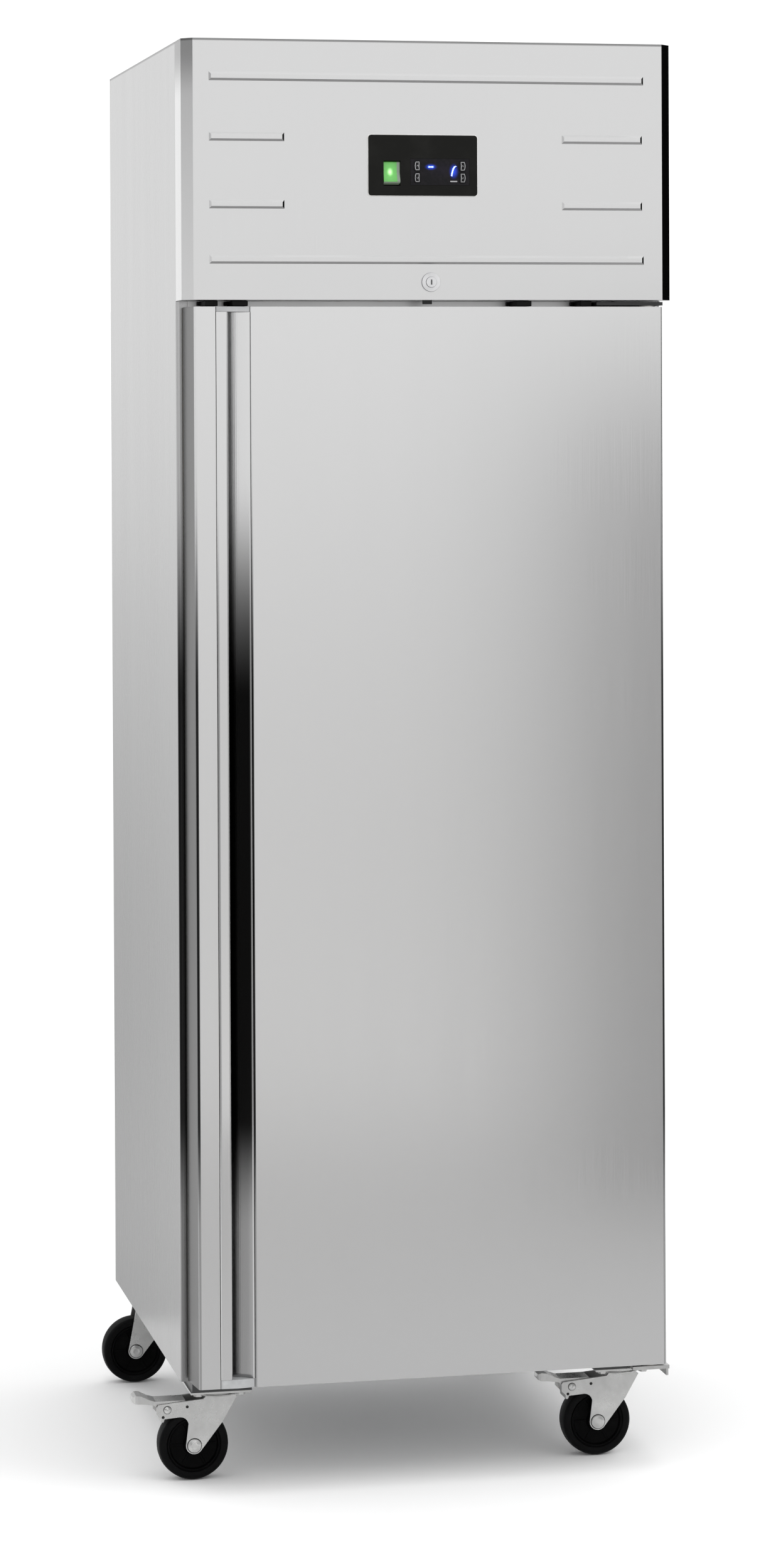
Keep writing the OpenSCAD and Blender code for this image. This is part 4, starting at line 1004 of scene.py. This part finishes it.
def make_floor():
    """A round pale floor, white near the object and greyer far off: a painted falloff of the light."""
    mesh = bmesh.new()
    bmesh.ops.create_circle(mesh, cap_ends=True, radius=30.0, segments=96)
    data = bpy.data.meshes.new("floor")
    mesh.to_mesh(data)
    mesh.free()
    floor = bpy.data.objects.new("floor", data)
    bpy.context.scene.collection.objects.link(floor)
    look = Look("floor_pale")
    # Painted light: the floor is whiter near the cabinet and greyer further in front.
    ahead = look.maths("MULTIPLY", look.part(look.coords, 1), -1.0)
    tone = look.spread(ahead, 0.0, 1.0, 0.72, 2.4)
    colour = look.blend(tone, (0.94, 0.94, 0.94), (0.80, 0.795, 0.79))
    grain = look.noise((300, 300, 300), 2.0)
    look.set(Base_Color=colour, Roughness=look.spread(grain, 0.75, 0.9), Specular_IOR_Level=0.1)
    look.bump(grain, 0.02, 0.0005)
    data.materials.append(look.material)


def make_flag(name, first, last, foot, head, soft, darkness, tone):
    """A dark screen round the cabinet that only reflections see. It runs from one bearing to another, in
    degrees from the front towards the right, and from its foot to its head, each a radius and a height. It
    fades over the soft share next to its head and over an eighth of its length at both ends."""
    mesh = bmesh.new()
    steps = 24
    along = mesh.loops.layers.uv.new("along")
    columns = []
    for k in range(steps + 1):
        bearing = math.radians(first + (last - first) * k / steps)
        out = Vector((math.sin(bearing), -math.cos(bearing), 0))
        columns.append([mesh.verts.new(out * radius + Vector((0, FRONT_Y, height)))
                        for radius, height in (foot, head)])
    for k in range(steps):
        face = mesh.faces.new((columns[k][0], columns[k + 1][0], columns[k + 1][1], columns[k][1]))
        for loop, u, v in zip(face.loops, (k, k + 1, k + 1, k), (0, 0, 1, 1)):
            loop[along].uv = (u / steps, v)
    data = bpy.data.meshes.new(name)
    mesh.to_mesh(data)
    mesh.free()
    flag = bpy.data.objects.new(name, data)
    bpy.context.scene.collection.objects.link(flag)
    look = Look(name)
    place = look.node("ShaderNodeUVMap", uv_map="along").outputs[0]
    end = look.maths("ABSOLUTE", look.maths("SUBTRACT", look.part(place, 0), 0.5))
    fade = look.maths("MULTIPLY", look.spread(end, darkness, 0.0, 0.375, 0.5),
                      look.spread(look.part(place, 1), 1.0, 0.0, 1.0 - soft, 1.0))
    clear = look.node("ShaderNodeBsdfTransparent")
    mixed = look.node("ShaderNodeMixShader")
    look.join(fade, mixed.inputs[0])
    look.join(clear.outputs[0], mixed.inputs[1])
    look.join(look.shader.outputs["BSDF"], mixed.inputs[2])
    look.join(mixed.outputs[0], look.output.inputs["Surface"])
    grain = look.noise((40, 40, 40), 2.0)
    look.set(Base_Color=look.blend(grain, (tone,) * 3, (tone * 1.3,) * 3), Roughness=0.9,
             Specular_IOR_Level=0.0)
    data.materials.append(look.material)
    flag.visible_camera = False
    flag.visible_diffuse = False
    flag.visible_shadow = False


def make_lamp(name, place, target, size, power):
    """A round lamp turned to its target, which neither the camera nor reflections see."""
    data = bpy.data.lights.new(name, "AREA")
    data.shape = "DISK"
    data.size = size
    data.energy = power
    lamp = bpy.data.objects.new(name, data)
    bpy.context.scene.collection.objects.link(lamp)
    lamp.location = place
    lamp.rotation_mode = "QUATERNION"
    lamp.rotation_quaternion = (Vector(target) - Vector(place)).to_track_quat("-Z", "Y")
    lamp.visible_camera = False
    lamp.visible_glossy = False


make_camera()
make_world()
make_floor()
make_flag("flag_left", -92, -10, (2.9, 0.004), (2.9, 1.32), 0.22, 0.60, 0.004)
make_flag("flag_right", 16, 80, (2.0, 0.004), (2.0, 1.75), 0.26, 0.56, 0.01)
make_flag("flag_behind", -172, -146, (1.16, 0.004), (1.16, 1.75), 0.75, 0.38, 0.02)
make_flag("floor_shade", -85, 85, (2.8, 0.006), (0.12, 0.006), 0.08, 0.34, 0.02)
make_lamp("key_right", (2.6, -2.6, 3.6), (0, 0, 1.1), 2.2, 40)
make_lamp("top_soft", (0.0, -0.6, 4.4), (0, 0, 1.0), 3.0, 40)
bpy.context.scene.view_settings.view_transform = "Standard"
